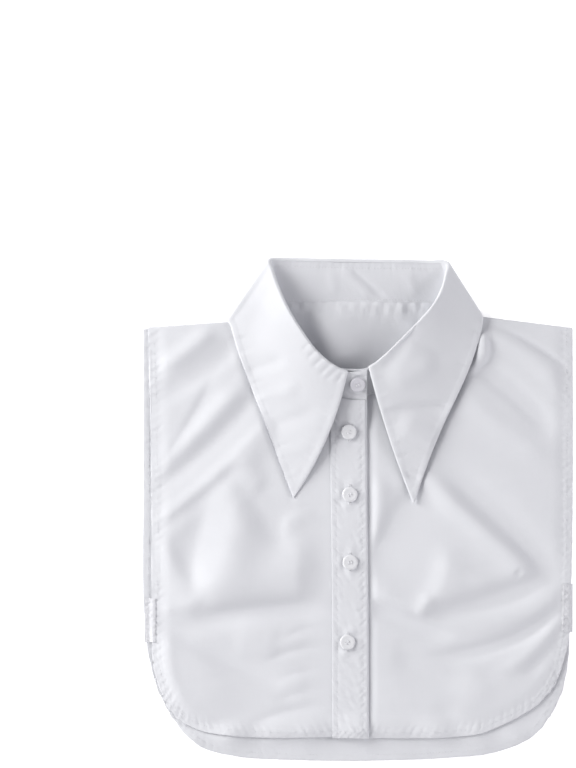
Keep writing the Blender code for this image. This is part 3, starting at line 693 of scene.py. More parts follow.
def collar_stations(first, last, step):
    """Places along the collar, closer together where a section fans out and at the ends."""
    at = np.linspace(KNOTS[first], KNOTS[last], STATION_POINTS)
    edges = leaf_column("edge", np.clip(at, LEAF_KNOTS[0], LEAF_KNOTS[-1]))
    tops = curve(KNOTS, TOPS, at)
    reach = np.maximum(np.diff(lengths(tops)), LEAF_PACE * np.diff(lengths(edges)))
    paced = np.concatenate(([0.0], np.cumsum(reach)))
    return np.interp(steps(paced[-1], step) * paced[-1], paced, at)


def stand_surface(at, rows):
    """Middle of the stand's cloth from the neck seam up to its top edge."""
    neck = curve(KNOTS, NECKS, at)
    top = curve(KNOTS, TOPS, at)
    table = neck[:, None, :] + (top - neck)[:, None, :] * rows[None, :, None]
    full = np.linalg.norm(top - neck, axis=1)[:, None]
    height = full * rows[None, :]
    from_top = full - height
    place = at[:, None]
    crease = folds(*plan_of(table), STAND_FOLDS).reshape(height.shape)
    crease = crease * ramp(height, *STAND_FOLD_FADE) * ramp(from_top, *STAND_FOLD_FADE)
    seam = groove(from_top - STAND_STITCH, STAND_GROOVE)
    seam = seam * (1.0 + ripple(place, STAND_GROOVE_WAVE))
    seam = seam + groove(height - SEAM_STITCH, SEAM_GROOVE)
    low = ripple(place + PUCKER_SLANT * height, SEAM_PUCKER) * np.exp(-height / SEAM_PUCKER_REACH)
    high = ripple(place, STAND_PUCKER) * np.exp(-from_top / STAND_PUCKER_REACH)
    normal = surface_normals(table)
    shown = normal * np.tanh(normal[..., 2:] / TURNOVER)
    return table + shown * (crease + seam + low + high)[..., None]


def leaf_form(at, roll_rows, fall_rows):
    """Leaf without relief, rolled out of the stand and down to its edge, and how far it falls."""
    top = curve(KNOTS, TOPS, at)
    rise = unit(top - curve(KNOTS, NECKS, at))
    edge, roll, bow, sag, lean = (leaf_column(field, at)
                                  for field in ("edge", "roll", "bow", "sag", "lean"))
    lean = np.radians(lean)
    outside = np.concatenate((-np.sin(lean), 0.0 * lean, np.cos(lean)), axis=1)
    out = unit(outside - np.sum(outside * rise, axis=1, keepdims=True) * rise)
    centre = top + ROLL_GAP * rise + roll * out
    end = top
    for _ in range(ROLL_ROUNDS):
        fall = edge - end
        turn = np.arctan2(np.sum(fall * out, axis=1), np.sum(fall * rise, axis=1))
        turn = np.mod(turn, math.tau)[:, None]
        end = centre + roll * (rise * np.sin(turn) - out * np.cos(turn))
    side = unit(np.cross(edge - end, (0.0, 0.0, 1.0)))
    rows = []
    for share in np.linspace(0.0, 1.0, roll_rows + 1):
        angle = turn * share
        rows.append(centre + roll * (rise * np.sin(angle) - out * np.cos(angle)))
    drop = (end - edge)[:, 2:]
    for share in fall_rows[1:]:
        point = end + (edge - end) * share + side * bow * arch(share)
        point[:, 2:] -= drop * ((1.0 - share) - (1.0 - share) ** sag)
        rows.append(point)
    return np.stack(rows, axis=1), np.linalg.norm(edge - end, axis=1)[:, None]


def leaf_surface(at, roll_rows, fall_rows):
    """Middle of the leaf's cloth with its creases, puckers and turned hem."""
    table, fall = leaf_form(at, roll_rows, fall_rows)
    normal = surface_normals(table)
    wing = (at < KNOTS[RIGHT_CORNER]) | (at > KNOTS[LEFT_CORNER])
    outer = np.concatenate((table[0], table[wing, -1], table[-1, ::-1]))
    rim, place = (part.reshape(normal.shape[:2]) for part in nearest(*plan_of(table), outer))
    along = lengths(outer[:, :2])[place]
    facing = ramp(normal[..., 2], *LEAF_FACING_FADE)
    crease = folds(*plan_of(table), LEAF_FOLDS).reshape(rim.shape)
    crease = crease * facing * raised(ramp(rim, *LEAF_FOLD_FADE), LEAF_FOLD_KEEP)
    drift = ripple(LEAF_DRIFT_SLANT * table[..., 0] + table[..., 1], LEAF_DRIFT)
    drift = drift * ramp(rim, *LEAF_DRIFT_FADE) * facing
    pucker = ripple(along, LEAF_PUCKER) * bell(rim, *LEAF_PUCKER_BAND)
    pucker = pucker * uneven(along, LEAF_UNEVEN) * ramp(fall, *LEAF_FALL_FADE)
    hem = LEAF_HEM_RISE * ramp(rim, *LEAF_HEM_FADE) - RIM_ROUND * rounding(rim, RIM_WIDTH)
    table = table + normal * (crease + drift + pucker + hem)[..., None]
    table[..., 2] = np.maximum(table[..., 2], 0.5 * COLLAR_WALL)
    return table


def rest_on(table, panels):
    """Leaf lifted wherever it would sink into a front."""
    x, y = plan_of(table)
    least = np.zeros_like(x)
    for panel, side in panels:
        within = (side * x > REST_FROM) & (y < REST_BELOW)
        least[within] = panel.top(x[within], y[within]) + 0.5 * COLLAR_WALL + WING_REST
    lifted = table.copy()
    lifted[..., 2] = soft_floor(table[..., 2], least.reshape(table.shape[:2]), REST_SHARPNESS)
    return lifted


def neck_run(first, last):
    """Neck seam from one section to another, given by their places in the table."""
    return curve(KNOTS, NECKS, np.linspace(KNOTS[first], KNOTS[last], NECK_POINTS))


NECK_OF_RIGHT_FRONT = neck_run(0, RIGHT_CORNER)
NECK_OF_LEFT_FRONT = neck_run(LAST, LEFT_CORNER)
NECK_OF_BACK = neck_run(RIGHT_CORNER, LEFT_CORNER)
NECK_MIDDLE = (0.0, 130.0)
PANEL_MIDDLE = (0.0, -20.0)


# ---------------------------------------------------------------- panels

def patch(top, bottom, left, right):
    """Function that fills four boundary runs, each read by its share of length."""
    def place(a, b):
        s = a[:, None]
        t = b[:, None]
        corners = ((1 - s) * (1 - t) * bottom[0] + s * (1 - t) * bottom[-1]
                   + (1 - s) * t * top[0] + s * t * top[-1])
        points = ((1 - t) * spread(bottom, a) + t * spread(top, a)
                  + (1 - s) * spread(left, b) + s * spread(right, b) - corners)
        return points[:, 0], points[:, 1]
    return place


WINGS = ((-1.0, COLLAR_SECTIONS[FIRST_LEAF:RIGHT_CORNER]),
         (1.0, COLLAR_SECTIONS[LAST_LEAF:LEFT_CORNER:-1]))


def wing_cover(x, y):
    """Share of a place that lies under one of the collar's wings."""
    cover = np.zeros_like(x)
    for side, sections in WINGS:
        point = sections[0].edge
        corner = sections[0].top
        outer = np.interp(y, [section.edge[1] for section in sections],
                          [abs(section.edge[0]) for section in sections])
        inner = np.interp(y, (point[1], corner[1]), (abs(point[0]), abs(corner[0])))
        within = ramp(side * x - outer, *WING_OUTER_FADE) * ramp(side * x - inner, *WING_INNER_FADE)
        cover = np.maximum(cover, within * ramp(y - point[1], *WING_POINT_FADE))
    return cover


def seam_allowance(neck):
    """Neck edge of a panel, just under the stand's lower edge."""
    return offset_run(neck, -SEAM_UNDER, NECK_MIDDLE)


def hem_relief(x, y, run, seed):
    """Doubled hem along a run: a step, a stitched groove and small puckers."""
    gap, place = nearest(x, y, run)
    along = lengths(run)[place]
    step = HEM_RISE * ramp(gap - HEM_WIDTH, *HEM_FOOT_FADE) + groove(gap - HEM_STITCH, HEM_GROOVE)
    pull = bell(gap, *HEM_PULL_BAND) * ramp(gap, *HEM_PULL_FADE) * uneven(along, HEM_UNEVEN, seed)
    pucker = ripple(along + PUCKER_SLANT * gap, HEM_PUCKER, seed) * pull
    dents = ripple(along + HEM_CRUMPLE_SLANT * gap, HEM_CRUMPLE, seed)
    dents = dents * ramp(gap, *HEM_CRUMPLE_FADE)
    return step + pucker + dents - EDGE_DROP * ramp(gap, *HEM_EDGE_FADE)


class Layer:
    """Cloth that lies on another, known by its under side."""

    wall = PANEL_WALL

    def top(self, x, y):
        return self.under(x, y) + self.wall


class BackPanel(Layer):
    """Whole back, shoulders to hem."""

    seed = 1.1

    def __init__(self):
        seam = NECK_OF_BACK[:, :2] + (0.0, SEAM_UNDER)
        top = np.concatenate((BACK_RIGHT.shoulder[::-1], seam, BACK_LEFT.shoulder))
        right = smooth_run(BACK_RIGHT.side, SIDE_POINTS)
        left = smooth_run(BACK_LEFT.side, SIDE_POINTS)
        hem = np.concatenate((smooth_run(BACK_RIGHT.hem, HEM_POINTS),
                              smooth_run(BACK_LEFT.hem, HEM_POINTS)[-2::-1]))
        self.border = np.concatenate((right, hem[1:], left[-2::-1]))
        self.plan = patch(top, hem, right[::-1], left[::-1])

    def under(self, x, y):
        out = np.abs(x)
        over_leaf = ramp(y, *LEAF_COVER_Y_FADE) * ramp(out, *LEAF_COVER_X_FADE)
        gather = ripple(x + GATHER_SLANT * (GATHER_FOOT - y), GATHER) * ramp(out, *GATHER_FADE)
        gather = gather * np.exp(-np.abs(y - GATHER_MIDDLE) / GATHER_REACH)
        low = BACK_SWELL * bell(y + BACK_SWELL_CURVE * x * x, *BACK_SWELL_BAND)
        low = low * ramp(y, *BACK_SWELL_FADE) * (1.0 + ripple(x, BACK_SWELL_WAVE))
        hem = np.maximum(hem_relief(x, y, self.border, self.seed), 0.0)
        return LEAF_COVER * over_leaf + folds(x, y, BACK_FOLDS) + np.abs(gather) + low + hem


class FrontPanel(Layer):
    """One front: neck seam, shoulder, side, hem and straight centre edge."""

    def __init__(self, outline, neck, back, centre_x, lap, seed):
        self.neck = neck
        self.lap = lap
        self.back = back
        self.seed = seed
        seam = seam_allowance(neck)[:-NECK_END]
        lifted = np.array(outline.shoulder) + SHOULDER_LIFT
        self.shoulder = straight_run(np.concatenate((seam[-1:], lifted)))
        side = smooth_run(np.concatenate((lifted[-1:], outline.side[1:])), SIDE_POINTS)
        hem = smooth_run(outline.hem, SIDE_POINTS)
        hem[-1, 0] = centre_x
        top = np.concatenate((seam, lifted))
        top[0, 0] = centre_x - FRONT_TOP_INSET
        centre = np.linspace(top[0], hem[-1], CENTRE_POINTS)
        self.border = np.concatenate((side, hem[1:]))
        if outline.shoulder[-1][0] < 0:
            self.plan = patch(top[::-1], hem, side[::-1], centre[::-1])
        else:
            self.plan = patch(top, hem[::-1], centre[::-1], side[::-1])

    def drape(self, x, y, middle):
        """Height of the folds over a flat front, less beside the borders and under the wings."""
        lie = FOLD_DEPTH * folds(x, y, FRONT_FOLDS) * (1.0 - PLACKET_DAMP * middle)
        lie = soft_floor(lie + DRAPE + crumple(x, y, FRONT_CRUMPLE), 0.0, DRAPE_SHARPNESS)
        border = ramp(nearest(x, y, self.border)[0], *BORDER_FADE)
        free = raised(border, BORDER_KEEP) * raised(ramp(y, *SHOULDER_FADE), SHOULDER_KEEP)
        return lie * free * (1.0 - PLACKET_PRESS * middle) * (1.0 - WING_PRESS * wing_cover(x, y))

    def under(self, x, y):
        middle = ramp(x, *PLACKET_LEFT_FADE) * ramp(x, *PLACKET_RIGHT_FADE)
        height = self.back.top(x, y) + PLY_GAP + self.drape(x, y, middle)
        lap = (PANEL_WALL + PLY_GAP) * ramp(x, *LAP_FADE)
        lap = lap + LAP_LIFT * uneven(y, LAP_UNEVEN) * ramp(x, *LAP_LIFT_FADE)
        hem = hem_relief(x, y, self.border, self.seed)
        height = height + self.lap * lap + hem * (1.0 - middle * (y > PLACKET_HEM_TOP))
        gap, place = nearest(x, y, self.neck)
        seam = self.neck[place, 2] - 0.5 * PANEL_WALL
        height = height + np.maximum(seam - height, 0.0) * ramp(gap, *NECK_FADE)
        shoulder = nearest(x, y, self.shoulder)[0]
        return height - (PANEL_WALL + PLY_GAP) * rounding(shoulder, SHOULDER_ROUND)


class Placket(Layer):
    """Band on the right front's edge, folded around that edge, with four buttonholes."""

    wall = PLACKET_WALL

    def __init__(self, front):
        self.front = front
        seam = seam_allowance(NECK_OF_RIGHT_FRONT)
        self.seam = seam[np.argsort(seam[:, 0])]

    def right_edge(self, y):
        share = ramp(y, PLACKET_FOOT, PLACKET_FOOT + PLACKET_RUN)
        return PLACKET_LOW_RIGHT + (PLACKET_TOP_RIGHT - PLACKET_LOW_RIGHT) * share ** 2

    def plan(self, a, b):
        from_right = PLACKET_WIDTH * (1.0 - a)
        top = np.interp(PLACKET_LOW_RIGHT - from_right, self.seam[:, 0], self.seam[:, 1])
        y = PLACKET_FOOT + (top - PLACKET_TOP_GAP - PLACKET_FOOT) * b
        return self.right_edge(y) - from_right, y

    def relief(self, x, y, edge):
        """Swell between the stitched lines, puckers beside them and dents all over."""
        swell = PLACKET_SWELL * ramp(edge - PLACKET_STITCH, *PLACKET_SWELL_FADE)
        swell = swell + groove(edge - PLACKET_STITCH, PLACKET_GROOVE)
        pucker = ripple(y + PLACKET_PUCKER_SLANT * edge, PLACKET_PUCKER)
        pucker = pucker * bell(edge, *PLACKET_PUCKER_BAND) * uneven(y, PLACKET_UNEVEN)
        dents = crumple(x, y, PLACKET_CRUMPLE) * ramp(edge, *PLACKET_CRUMPLE_FADE)
        dents = dents * raised(ramp(y, *PLACKET_SMOOTH_FADE), PLACKET_CRUMPLE_KEEP)
        low = ripple(y + PLACKET_LOW_SLANT * x, PLACKET_LOW) * ramp(y, *PLACKET_LOW_FADE)
        low = low * ramp(edge, *PLACKET_LOW_EDGE_FADE)
        star = 0.0
        for _, hole_x, hole_y, turn in PLACKET_BUTTONS:
            away = np.hypot(x - hole_x, y - hole_y)
            angle = STAR_RAYS * np.arctan2(y - hole_y, x - hole_x) + math.radians(turn)
            star = star + np.cos(angle) * bell(away, *STAR_BAND)
        return swell + pucker + dents + low + STAR_HEIGHT * star * ramp(edge, *STAR_FADE)

    def under(self, x, y):
        right = self.right_edge(y)
        from_right = right - x
        edge = np.minimum(from_right, PLACKET_WIDTH - from_right)
        height = self.front.top(np.minimum(x, right - PLACKET_ROUND), y) + PLACKET_GAP
        height = height + self.relief(x, y, edge) - EDGE_DROP * ramp(edge, *PLACKET_EDGE_FADE)
        return height - (PANEL_WALL + PLACKET_GAP) * rounding(from_right, PLACKET_ROUND)


class Tape(Layer):
    """Short woven tape laid along a side edge, over the front's edge and onto the back."""

    wall = TAPE_WALL

    def __init__(self, front, back, node, span, edges):
        self.node = node
        self.front = front
        self.back = back
        self.span = span
        self.edges = edges
        low, high = span[0] - TAPE_SIDE_REACH, span[1] + TAPE_SIDE_REACH
        side = front.border[(front.border[:, 1] > low) & (front.border[:, 1] < high)]
        self.side = side[np.argsort(side[:, 1])]

    def plan(self, a, b):
        (inner, outer), (low, high) = self.edges, self.span
        return inner + (outer - inner) * a, low + (high - low) * b

    def under(self, x, y):
        (inner, outer), (low, high) = self.edges, self.span
        edge = np.abs(np.interp(y, self.side[:, 1], self.side[:, 0]))
        past = ramp(np.abs(x) - edge, *TAPE_STEP_FADE)
        within = np.sign(x) * np.minimum(np.abs(x), edge)
        rim = np.minimum(np.minimum(x - inner, outer - x), np.minimum(y - low, high - y))
        height = self.front.top(within, y) * (1.0 - past) + self.back.top(x, y) * past + TAPE_GAP
        height = height + TAPE_SWELL * ramp(rim, *TAPE_SWELL_FADE)
        return height + ripple(y + TAPE_SLANT * x, TAPE_WAVE)


# ---------------------------------------------------------------- finishes

OBJECT_PLACE = 3
MIX_SHARE, MIX_DARK, MIX_LIGHT, MIX_COLOUR = 0, 6, 7, 2


class Reading:
    """A shader value; arithmetic on it adds the nodes that work it out."""

    def __init__(self, finish, socket):
        self.finish = finish
        self.socket = socket

    def maths(self, operation, *others):
        inputs = dict(enumerate((self, *others)))
        return self.finish.node("ShaderNodeMath", {"operation": operation}, inputs)

    def __add__(self, other):
        return self.maths("ADD", other)

    def __mul__(self, other):
        return self.maths("MULTIPLY", other)

    def __sub__(self, other):
        return self.maths("SUBTRACT", other)

    def __rsub__(self, other):
        return self * -1.0 + other

    __radd__ = __add__
    __rmul__ = __mul__


class Finish:
    """A material, built one node a call."""

    def __init__(self, name, constants):
        self.material = bpy.data.materials.new(name)
        self.material.use_nodes = True
        self.tree = self.material.node_tree
        self.shader = next(node for node in self.tree.nodes if node.type == "BSDF_PRINCIPLED")
        for socket, value in constants.items():
            self.shader.inputs[socket].default_value = value

    def node(self, kind, settings, inputs, output=0):
        made = self.tree.nodes.new(kind)
        for setting, value in settings.items():
            setattr(made, setting, value)
        self.join(made, inputs)
        return Reading(self, made.outputs[output])

    def join(self, node, inputs):
        for socket, value in inputs.items():
            if isinstance(value, Reading):
                self.tree.links.new(value.socket, node.inputs[socket])
            else:
                node.inputs[socket].default_value = value

    def cloth(self):
        """Place on the cloth, in metres along and across it."""
        return self.node("ShaderNodeUVMap", {"uv_map": "cloth"}, {})

    def place(self):
        return self.node("ShaderNodeTexCoord", {}, {}, output=OBJECT_PLACE)

    def part(self, vector, axis):
        return self.node("ShaderNodeSeparateXYZ", {}, {0: vector}, output=axis)

    def noise(self, vector, scale, detail=2.0):
        """Noise centred on 0, from about -0.5 to 0.5. Three scales stretch it."""
        if isinstance(scale, tuple):
            vector = self.node("ShaderNodeMapping", {}, {"Vector": vector, "Scale": scale})
            scale = 1.0
        inputs = {"Vector": vector, "Scale": scale, "Detail": detail}
        return self.node("ShaderNodeTexNoise", {}, inputs) - 0.5

    def blend(self, share, tones):
        dark, light = ((*tone, 1.0) for tone in tones)
        inputs = {MIX_SHARE: share, MIX_DARK: dark, MIX_LIGHT: light}
        return self.node("ShaderNodeMix", {"data_type": "RGBA"}, inputs, output=MIX_COLOUR)

    def bump(self, height):
        """Relief given in millimetres."""
        inputs = {"Height": height, "Distance": MM, "Strength": 1.0}
        return self.node("ShaderNodeBump", {}, inputs)

    def show(self, inputs):
        self.join(self.shader, inputs)
        return self.material


def poplin(name, crumpling):
    """Fine plain weave: ribbed threads, slubs, and soft crumpling of the cloth."""
    finish = Finish(name, {"Specular IOR Level": 0.3, "Sheen Weight": 0.12, "Sheen Roughness": 0.5})
    cloth = finish.cloth()
    warp, weft = ((finish.part(cloth, axis) * (math.tau / (pitch * MM))).maths("SINE")
                  for axis, pitch in enumerate((THREAD_PITCH, WEFT_PITCH)))
    weave = warp * weft
    slub = finish.noise(cloth, WARP_SLUB) + finish.noise(cloth, WEFT_SLUB)
    soft = finish.noise(cloth, CRUMPLE_SCALE, 3.0)
    relief = weave * WEAVE_RELIEF + slub * SLUB_RELIEF + soft * crumpling
    cloud = finish.noise(cloth, CLOUD_SCALE, 3.0)
    tone = (slub * 0.5 + cloud * 0.9 + weave * 0.12 + 0.5).maths("MINIMUM", 1.0)
    return finish.show({"Base Color": finish.blend(tone, POPLIN_TONES),
                        "Roughness": 0.86 + slub * 0.08, "Normal": finish.bump(relief)})


def tape_weave():
    """Narrow woven tape with a herringbone rib."""
    finish = Finish("woven tape", {"Specular IOR Level": 0.3, "Sheen Weight": 0.1})
    cloth = finish.cloth()
    along = finish.part(cloth, 1)
    across = finish.part(cloth, 0)
    slant = (across.maths("PINGPONG", TAPE_RIB * MM) + along) * (math.tau / (TAPE_TWILL * MM))
    rib = slant.maths("SINE")
    grain = finish.noise(cloth, TAPE_GRAIN_SCALE)
    colour = finish.blend(0.5 + rib * 0.25 + grain * 0.4, TAPE_TONES)
    return finish.show({"Base Color": colour, "Roughness": 0.85 + grain * 0.1,
                        "Normal": finish.bump(rib * 0.05 + grain * 0.03)})


def button_resin(name, tones):
    """Polished resin with faint cloudy layers and fine turning marks."""
    finish = Finish(name, {"IOR": 1.52, "Coat Roughness": 0.12})
    place = finish.place()
    cloud = finish.noise(place, RESIN_CLOUD, 3.0)
    scuff = finish.noise(place, RESIN_SCUFF_SCALE)
    colour = finish.blend(cloud * 1.6 + 0.5, tones)
    return finish.show({"Base Color": colour, "Roughness": 0.24 + scuff * 0.12,
                        "Coat Weight": 0.3 + scuff * 0.1, "Normal": finish.bump(scuff * 0.006)})


def twisted_thread():
    """Cotton thread with a soft twist."""
    finish = Finish("cotton thread", {"Specular IOR Level": 0.35, "Sheen Weight": 0.2})
    twist = finish.noise(finish.place(), THREAD_TWIST, 1.0)
    colour = finish.blend(twist + 0.5, THREAD_TONES)
    return finish.show({"Base Color": colour, "Roughness": 0.78 + twist * 0.1,
                        "Normal": finish.bump(twist * 0.03)})


def plain_paper():
    """Pale floor sheet."""
    finish = Finish("floor sheet", {"Specular IOR Level": 0.1, "Emission Strength": FLOOR_GLOW})
    grain = finish.noise(finish.place(), FLOOR_GRAIN_SCALE)
    colour = finish.blend(grain + 0.5, FLOOR_TONES)
    return finish.show({"Base Color": colour, "Emission Color": colour,
                        "Roughness": 0.95 + grain * 0.04})


# ---------------------------------------------------------------- meshes

def finished_mesh(name, shape):
    """Mesh made from a bmesh, which is then freed."""
    mesh = bpy.data.meshes.new(name)
    shape.to_mesh(mesh)
    shape.free()
    return mesh


def add_object(name, data):
    item = bpy.data.objects.new(name, data)
    bpy.context.scene.collection.objects.link(item)
    return item


def make_piece(name, mesh, material, node=None):
    mesh.materials.append(material)
    mesh.polygons.foreach_set("use_smooth", np.ones(len(mesh.polygons), bool))
    item = add_object(name, mesh)
    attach(item, "root")
    if node:
        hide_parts(node)
    return item


def make_cloth(node, table, cloth, wall, offset, material):
    """Cloth shell from a table of points and the cloth's own measures for its weave."""
    columns, rows = table.shape[0] - 1, table.shape[1] - 1
    grid = bmesh.new()
    bmesh.ops.create_grid(grid, x_segments=columns, y_segments=rows, size=0.5)
    mesh = finished_mesh(node + "_cloth", grid)
    flat = np.empty(len(mesh.vertices) * 3)
    mesh.vertices.foreach_get("co", flat)
    flat = flat.reshape(-1, 3) + 0.5
    column = np.rint(flat[:, 0] * columns).astype(int)
    row = np.rint(flat[:, 1] * rows).astype(int)
    mesh.vertices.foreach_set("co", (table[column, row] * MM).reshape(-1))
    corners = np.empty(len(mesh.loops), int)
    mesh.loops.foreach_get("vertex_index", corners)
    weave = mesh.uv_layers.new(name="cloth")
    weave.data.foreach_set("uv", (cloth[column, row][corners] * MM).reshape(-1))
    item = make_piece(node + "_cloth", mesh, material, node)
    shell = item.modifiers.new("wall", "SOLIDIFY")
    shell.thickness = wall * MM
    shell.offset = offset
    shell.use_quality_normals = True
    return item


def panel_cloth(node, panel, material):
    """Panel on its plan, lifted to its own height."""
    columns, rows = (steps(*run) for run in GRIDS[node])
    a, b = np.meshgrid(columns, rows, indexing="ij")
    x, y = panel.plan(a.reshape(-1), b.reshape(-1))
    table = np.stack([x, y, panel.under(x, y)], axis=-1).reshape(*a.shape, 3)
    return make_cloth(node, table, table[..., :2], panel.wall, 1.0, material)


def band_cloth(node, table, at, material):
    """Collar band, with its cloth measured along and across it."""
    across = np.linalg.norm(np.diff(table, axis=1), axis=-1).cumsum(axis=1)
    across = np.concatenate((np.zeros((len(at), 1)), across), axis=1)
    cloth = np.stack([np.broadcast_to(at[:, None], across.shape), across], axis=-1)
    return make_cloth(node, table, cloth, COLLAR_WALL, 0.0, material)


def aim(place, along, normal, size):
    """Matrix that puts a unit shape at a place, its x along and its z on the normal."""
    along = unit(np.asarray(along, float))
    side = unit(np.cross(normal, along))
    matrix = np.identity(4)
    for axis, (way, scale) in enumerate(zip((along, side, np.cross(along, side)), size)):
        matrix[:3, axis] = way * scale * MM
    matrix[:3, 3] = np.asarray(place) * MM
    return Matrix(matrix)


def add_bead(threads, place, along, normal, size):
    """Small rounded bead of thread."""
    bmesh.ops.create_icosphere(threads, subdivisions=1, radius=1.0,
                               matrix=aim(place, along, normal, size))


def add_strand(threads, start, end, radius):
    """One strand from start to end."""
    start = np.asarray(start, float)
    end = np.asarray(end, float)
    size = (0.5 * np.linalg.norm(end - start) + 0.5 * radius, radius, radius)
    add_bead(threads, 0.5 * (start + end), end - start, (0.0, 0.0, 1.0), size)


def read_run(run, at):
    """Points at the given distances along a run."""
    knots = lengths(run)
    return np.stack([np.interp(at, knots, run[:, axis]) for axis in range(3)], axis=-1)


def stitch_run(threads, run, pitch=STITCH_PITCH, radius=THREAD_RADIUS, normals=None):
    """Short stitches along a run of points, each a small bead of thread."""
    knots = lengths(run)
    count = max(1, int(knots[-1] / pitch))
    at = (np.arange(count) + 0.5) * knots[-1] / count
    middle, ahead, behind = (read_run(run, at + shift)
                             for shift in (0.0, STITCH_REACH, -STITCH_REACH))
    if normals is None:
        normals = np.broadcast_to((0.0, 0.0, 1.0), run.shape)
    up = np.stack([np.interp(at, knots, normals[:, axis]) for axis in range(3)], axis=-1)
    size = (0.5 * (pitch - STITCH_GAP), radius * STITCH_FLATTEN, radius)
    for place, along, normal in zip(middle, ahead - behind, up):
        add_bead(threads, place, along, normal, size)


def thread_piece(name, threads):
    return make_piece(name, finished_mesh(name, threads), THREAD)


def on_panel(x, y, panel, lift=STITCH_LIFT):
    """Places in plan lifted onto the upper side of a panel."""
    x, y = np.broadcast_arrays(x, y)
    return np.stack([x, y, panel.top(x, y) + lift], axis=-1)


# ---------------------------------------------------------------- buttons and buttonholes

def highest(panel, x, y, radius):
    """Highest point of a panel under a round button."""
    angle, out = np.meshgrid(np.linspace(0.0, math.tau, 24), np.linspace(0.0, radius, 5))
    around = x + (out * np.cos(angle)).reshape(-1)
    along = y + (out * np.sin(angle)).reshape(-1)
    return float(panel.top(around, along).max())


def button_profile():
    """Half section of a button: flat foot, round rim and dished face."""
    profile = [(BUTTON_AXIS, BUTTON_DISH), (BUTTON_FACE, BUTTON_DISH)]
    inner, outer = BUTTON_SLOPE
    for share in np.linspace(0.0, 1.0, 5):
        rise = float(ease(share)) * (BUTTON_HEIGHT - BUTTON_DISH)
        profile.append((inner + share * (outer - inner), BUTTON_DISH + rise))
    for angle in np.linspace(*BUTTON_RIM_TURN, 9):
        profile.append((BUTTON_RIM + (BUTTON_RADIUS - BUTTON_RIM) * math.cos(angle),
                        0.5 * BUTTON_HEIGHT * (1.0 + math.sin(angle))))
    return profile + [(BUTTON_FOOT, 0.0), (BUTTON_AXIS, 0.0)]


def turned_button(name, seat):
    """Round body of a button, without holes."""
    body = bmesh.new()
    ring = [body.verts.new((radius, 0.0, z)) for radius, z in button_profile()]
    edges = [body.edges.new(pair) for pair in zip(ring, ring[1:])]
    bmesh.ops.spin(body, geom=ring + edges, axis=(0.0, 0.0, 1.0), cent=(0.0, 0.0, 0.0),
                   steps=BUTTON_STEPS, angle=math.tau, use_merge=True)
    bmesh.ops.remove_doubles(body, verts=body.verts, dist=BUTTON_MERGE)
    bmesh.ops.recalc_face_normals(body, faces=body.faces)
    bmesh.ops.transform(body, matrix=seat, verts=body.verts)
    return finished_mesh(name, body)


def bore_holes(button, name, seat):
    """Cut the four thread holes, and keep the edges around them crisp."""
    drill = bmesh.new()
    for across in (-THREAD_HOLE_SPACING, THREAD_HOLE_SPACING):
        for along in (-THREAD_HOLE_SPACING, THREAD_HOLE_SPACING):
            bmesh.ops.create_cone(drill, cap_ends=True, segments=THREAD_HOLE_STEPS,
                                  radius1=THREAD_HOLE_RADIUS, radius2=THREAD_HOLE_RADIUS,
                                  depth=3.0 * BUTTON_HEIGHT,
                                  matrix=Matrix.Translation((across, along, 0.0)))
    bmesh.ops.transform(drill, matrix=seat, verts=drill.verts)
    cutter = add_object(name, finished_mesh(name, drill))
    bore = button.modifiers.new("thread holes", "BOOLEAN")
    bore.operation = "DIFFERENCE"
    bore.solver = "EXACT"
    bore.object = cutter
    bpy.context.view_layer.update()
    graph = bpy.context.evaluated_depsgraph_get()
    bored = bpy.data.meshes.new_from_object(button.evaluated_get(graph))
    button.modifiers.clear()
    button.data = bored
    bpy.data.objects.remove(cutter)
    crisp = bmesh.new()
    crisp.from_mesh(bored)
    for edge in crisp.edges:
        edge.smooth = edge.calc_face_angle(0.0) < math.radians(BUTTON_CREASE)
    crisp.to_mesh(bored)
    crisp.free()


def button_thread(name, seat):
    """Two rows of strands through the holes, and the short shank under them."""
    strands = bmesh.new()
    reach = THREAD_HOLE_SPACING + STRAND_OVER
    for across in (-THREAD_HOLE_SPACING, THREAD_HOLE_SPACING):
        for shift in STRAND_SHIFTS:
            height = BUTTON_DISH + STRAND_RISE - STRAND_DROP * abs(shift)
            add_strand(strands, (across + shift, -reach, height), (across + shift, reach, height),
                       STRAND_RADIUS)
    bmesh.ops.create_cone(strands, cap_ends=True, segments=16, **SHANK,
                          matrix=Matrix.Translation((0.0, 0.0, SHANK_LEVEL * MM)))
    bmesh.ops.transform(strands, matrix=seat @ Matrix.Scale(1.0 / MM, 4), verts=strands.verts)
    return thread_piece(name, strands)


def make_button(node, place, turn, material, tilt=0.0):
    """Four-hole button with a dished face, and the thread that holds it."""
    turned = Matrix.Rotation(math.radians(turn), 4, "Z")
    tilted = Matrix.Rotation(tilt, 4, "X")
    seat = Matrix.Scale(MM, 4) @ (Matrix.Translation(place) @ tilted @ turned)
    mesh = turned_button(node + "_resin", seat)
    button = make_piece(node + "_resin", mesh, material, node)
    bore_holes(button, node + "_drill", seat)
    return button, button_thread(node + "_thread", seat)


def make_buttonhole(node, panel, x, y):
    """Upright worked buttonhole: two rows of close stitches and a bar at each end."""
    stitches = bmesh.new()
    half = 0.5 * BUTTONHOLE_LENGTH
    rows = y + np.arange(-half, half, BUTTONHOLE_PITCH)
    for side in (-1.0, 1.0):
        near = on_panel(x + side * BUTTONHOLE_SLIT, rows, panel, BUTTONHOLE_LIFT)
        far = on_panel(x + side * 0.5 * BUTTONHOLE_WIDTH, rows, panel, 0.0)
        for start, end in zip(near, far):
            add_strand(stitches, start, end, BUTTONHOLE_THREAD)
    for side in (-1.0, 1.0):
        for step in BAR_STEPS:
            level = y + side * (half + BAR_OUT - step)
            ends = np.array((x - BAR_REACH, x + BAR_REACH))
            left, right = on_panel(ends, level, panel, BAR_LIFT)
            add_strand(stitches, left, right, BAR_THREAD)
    return thread_piece(node, stitches)


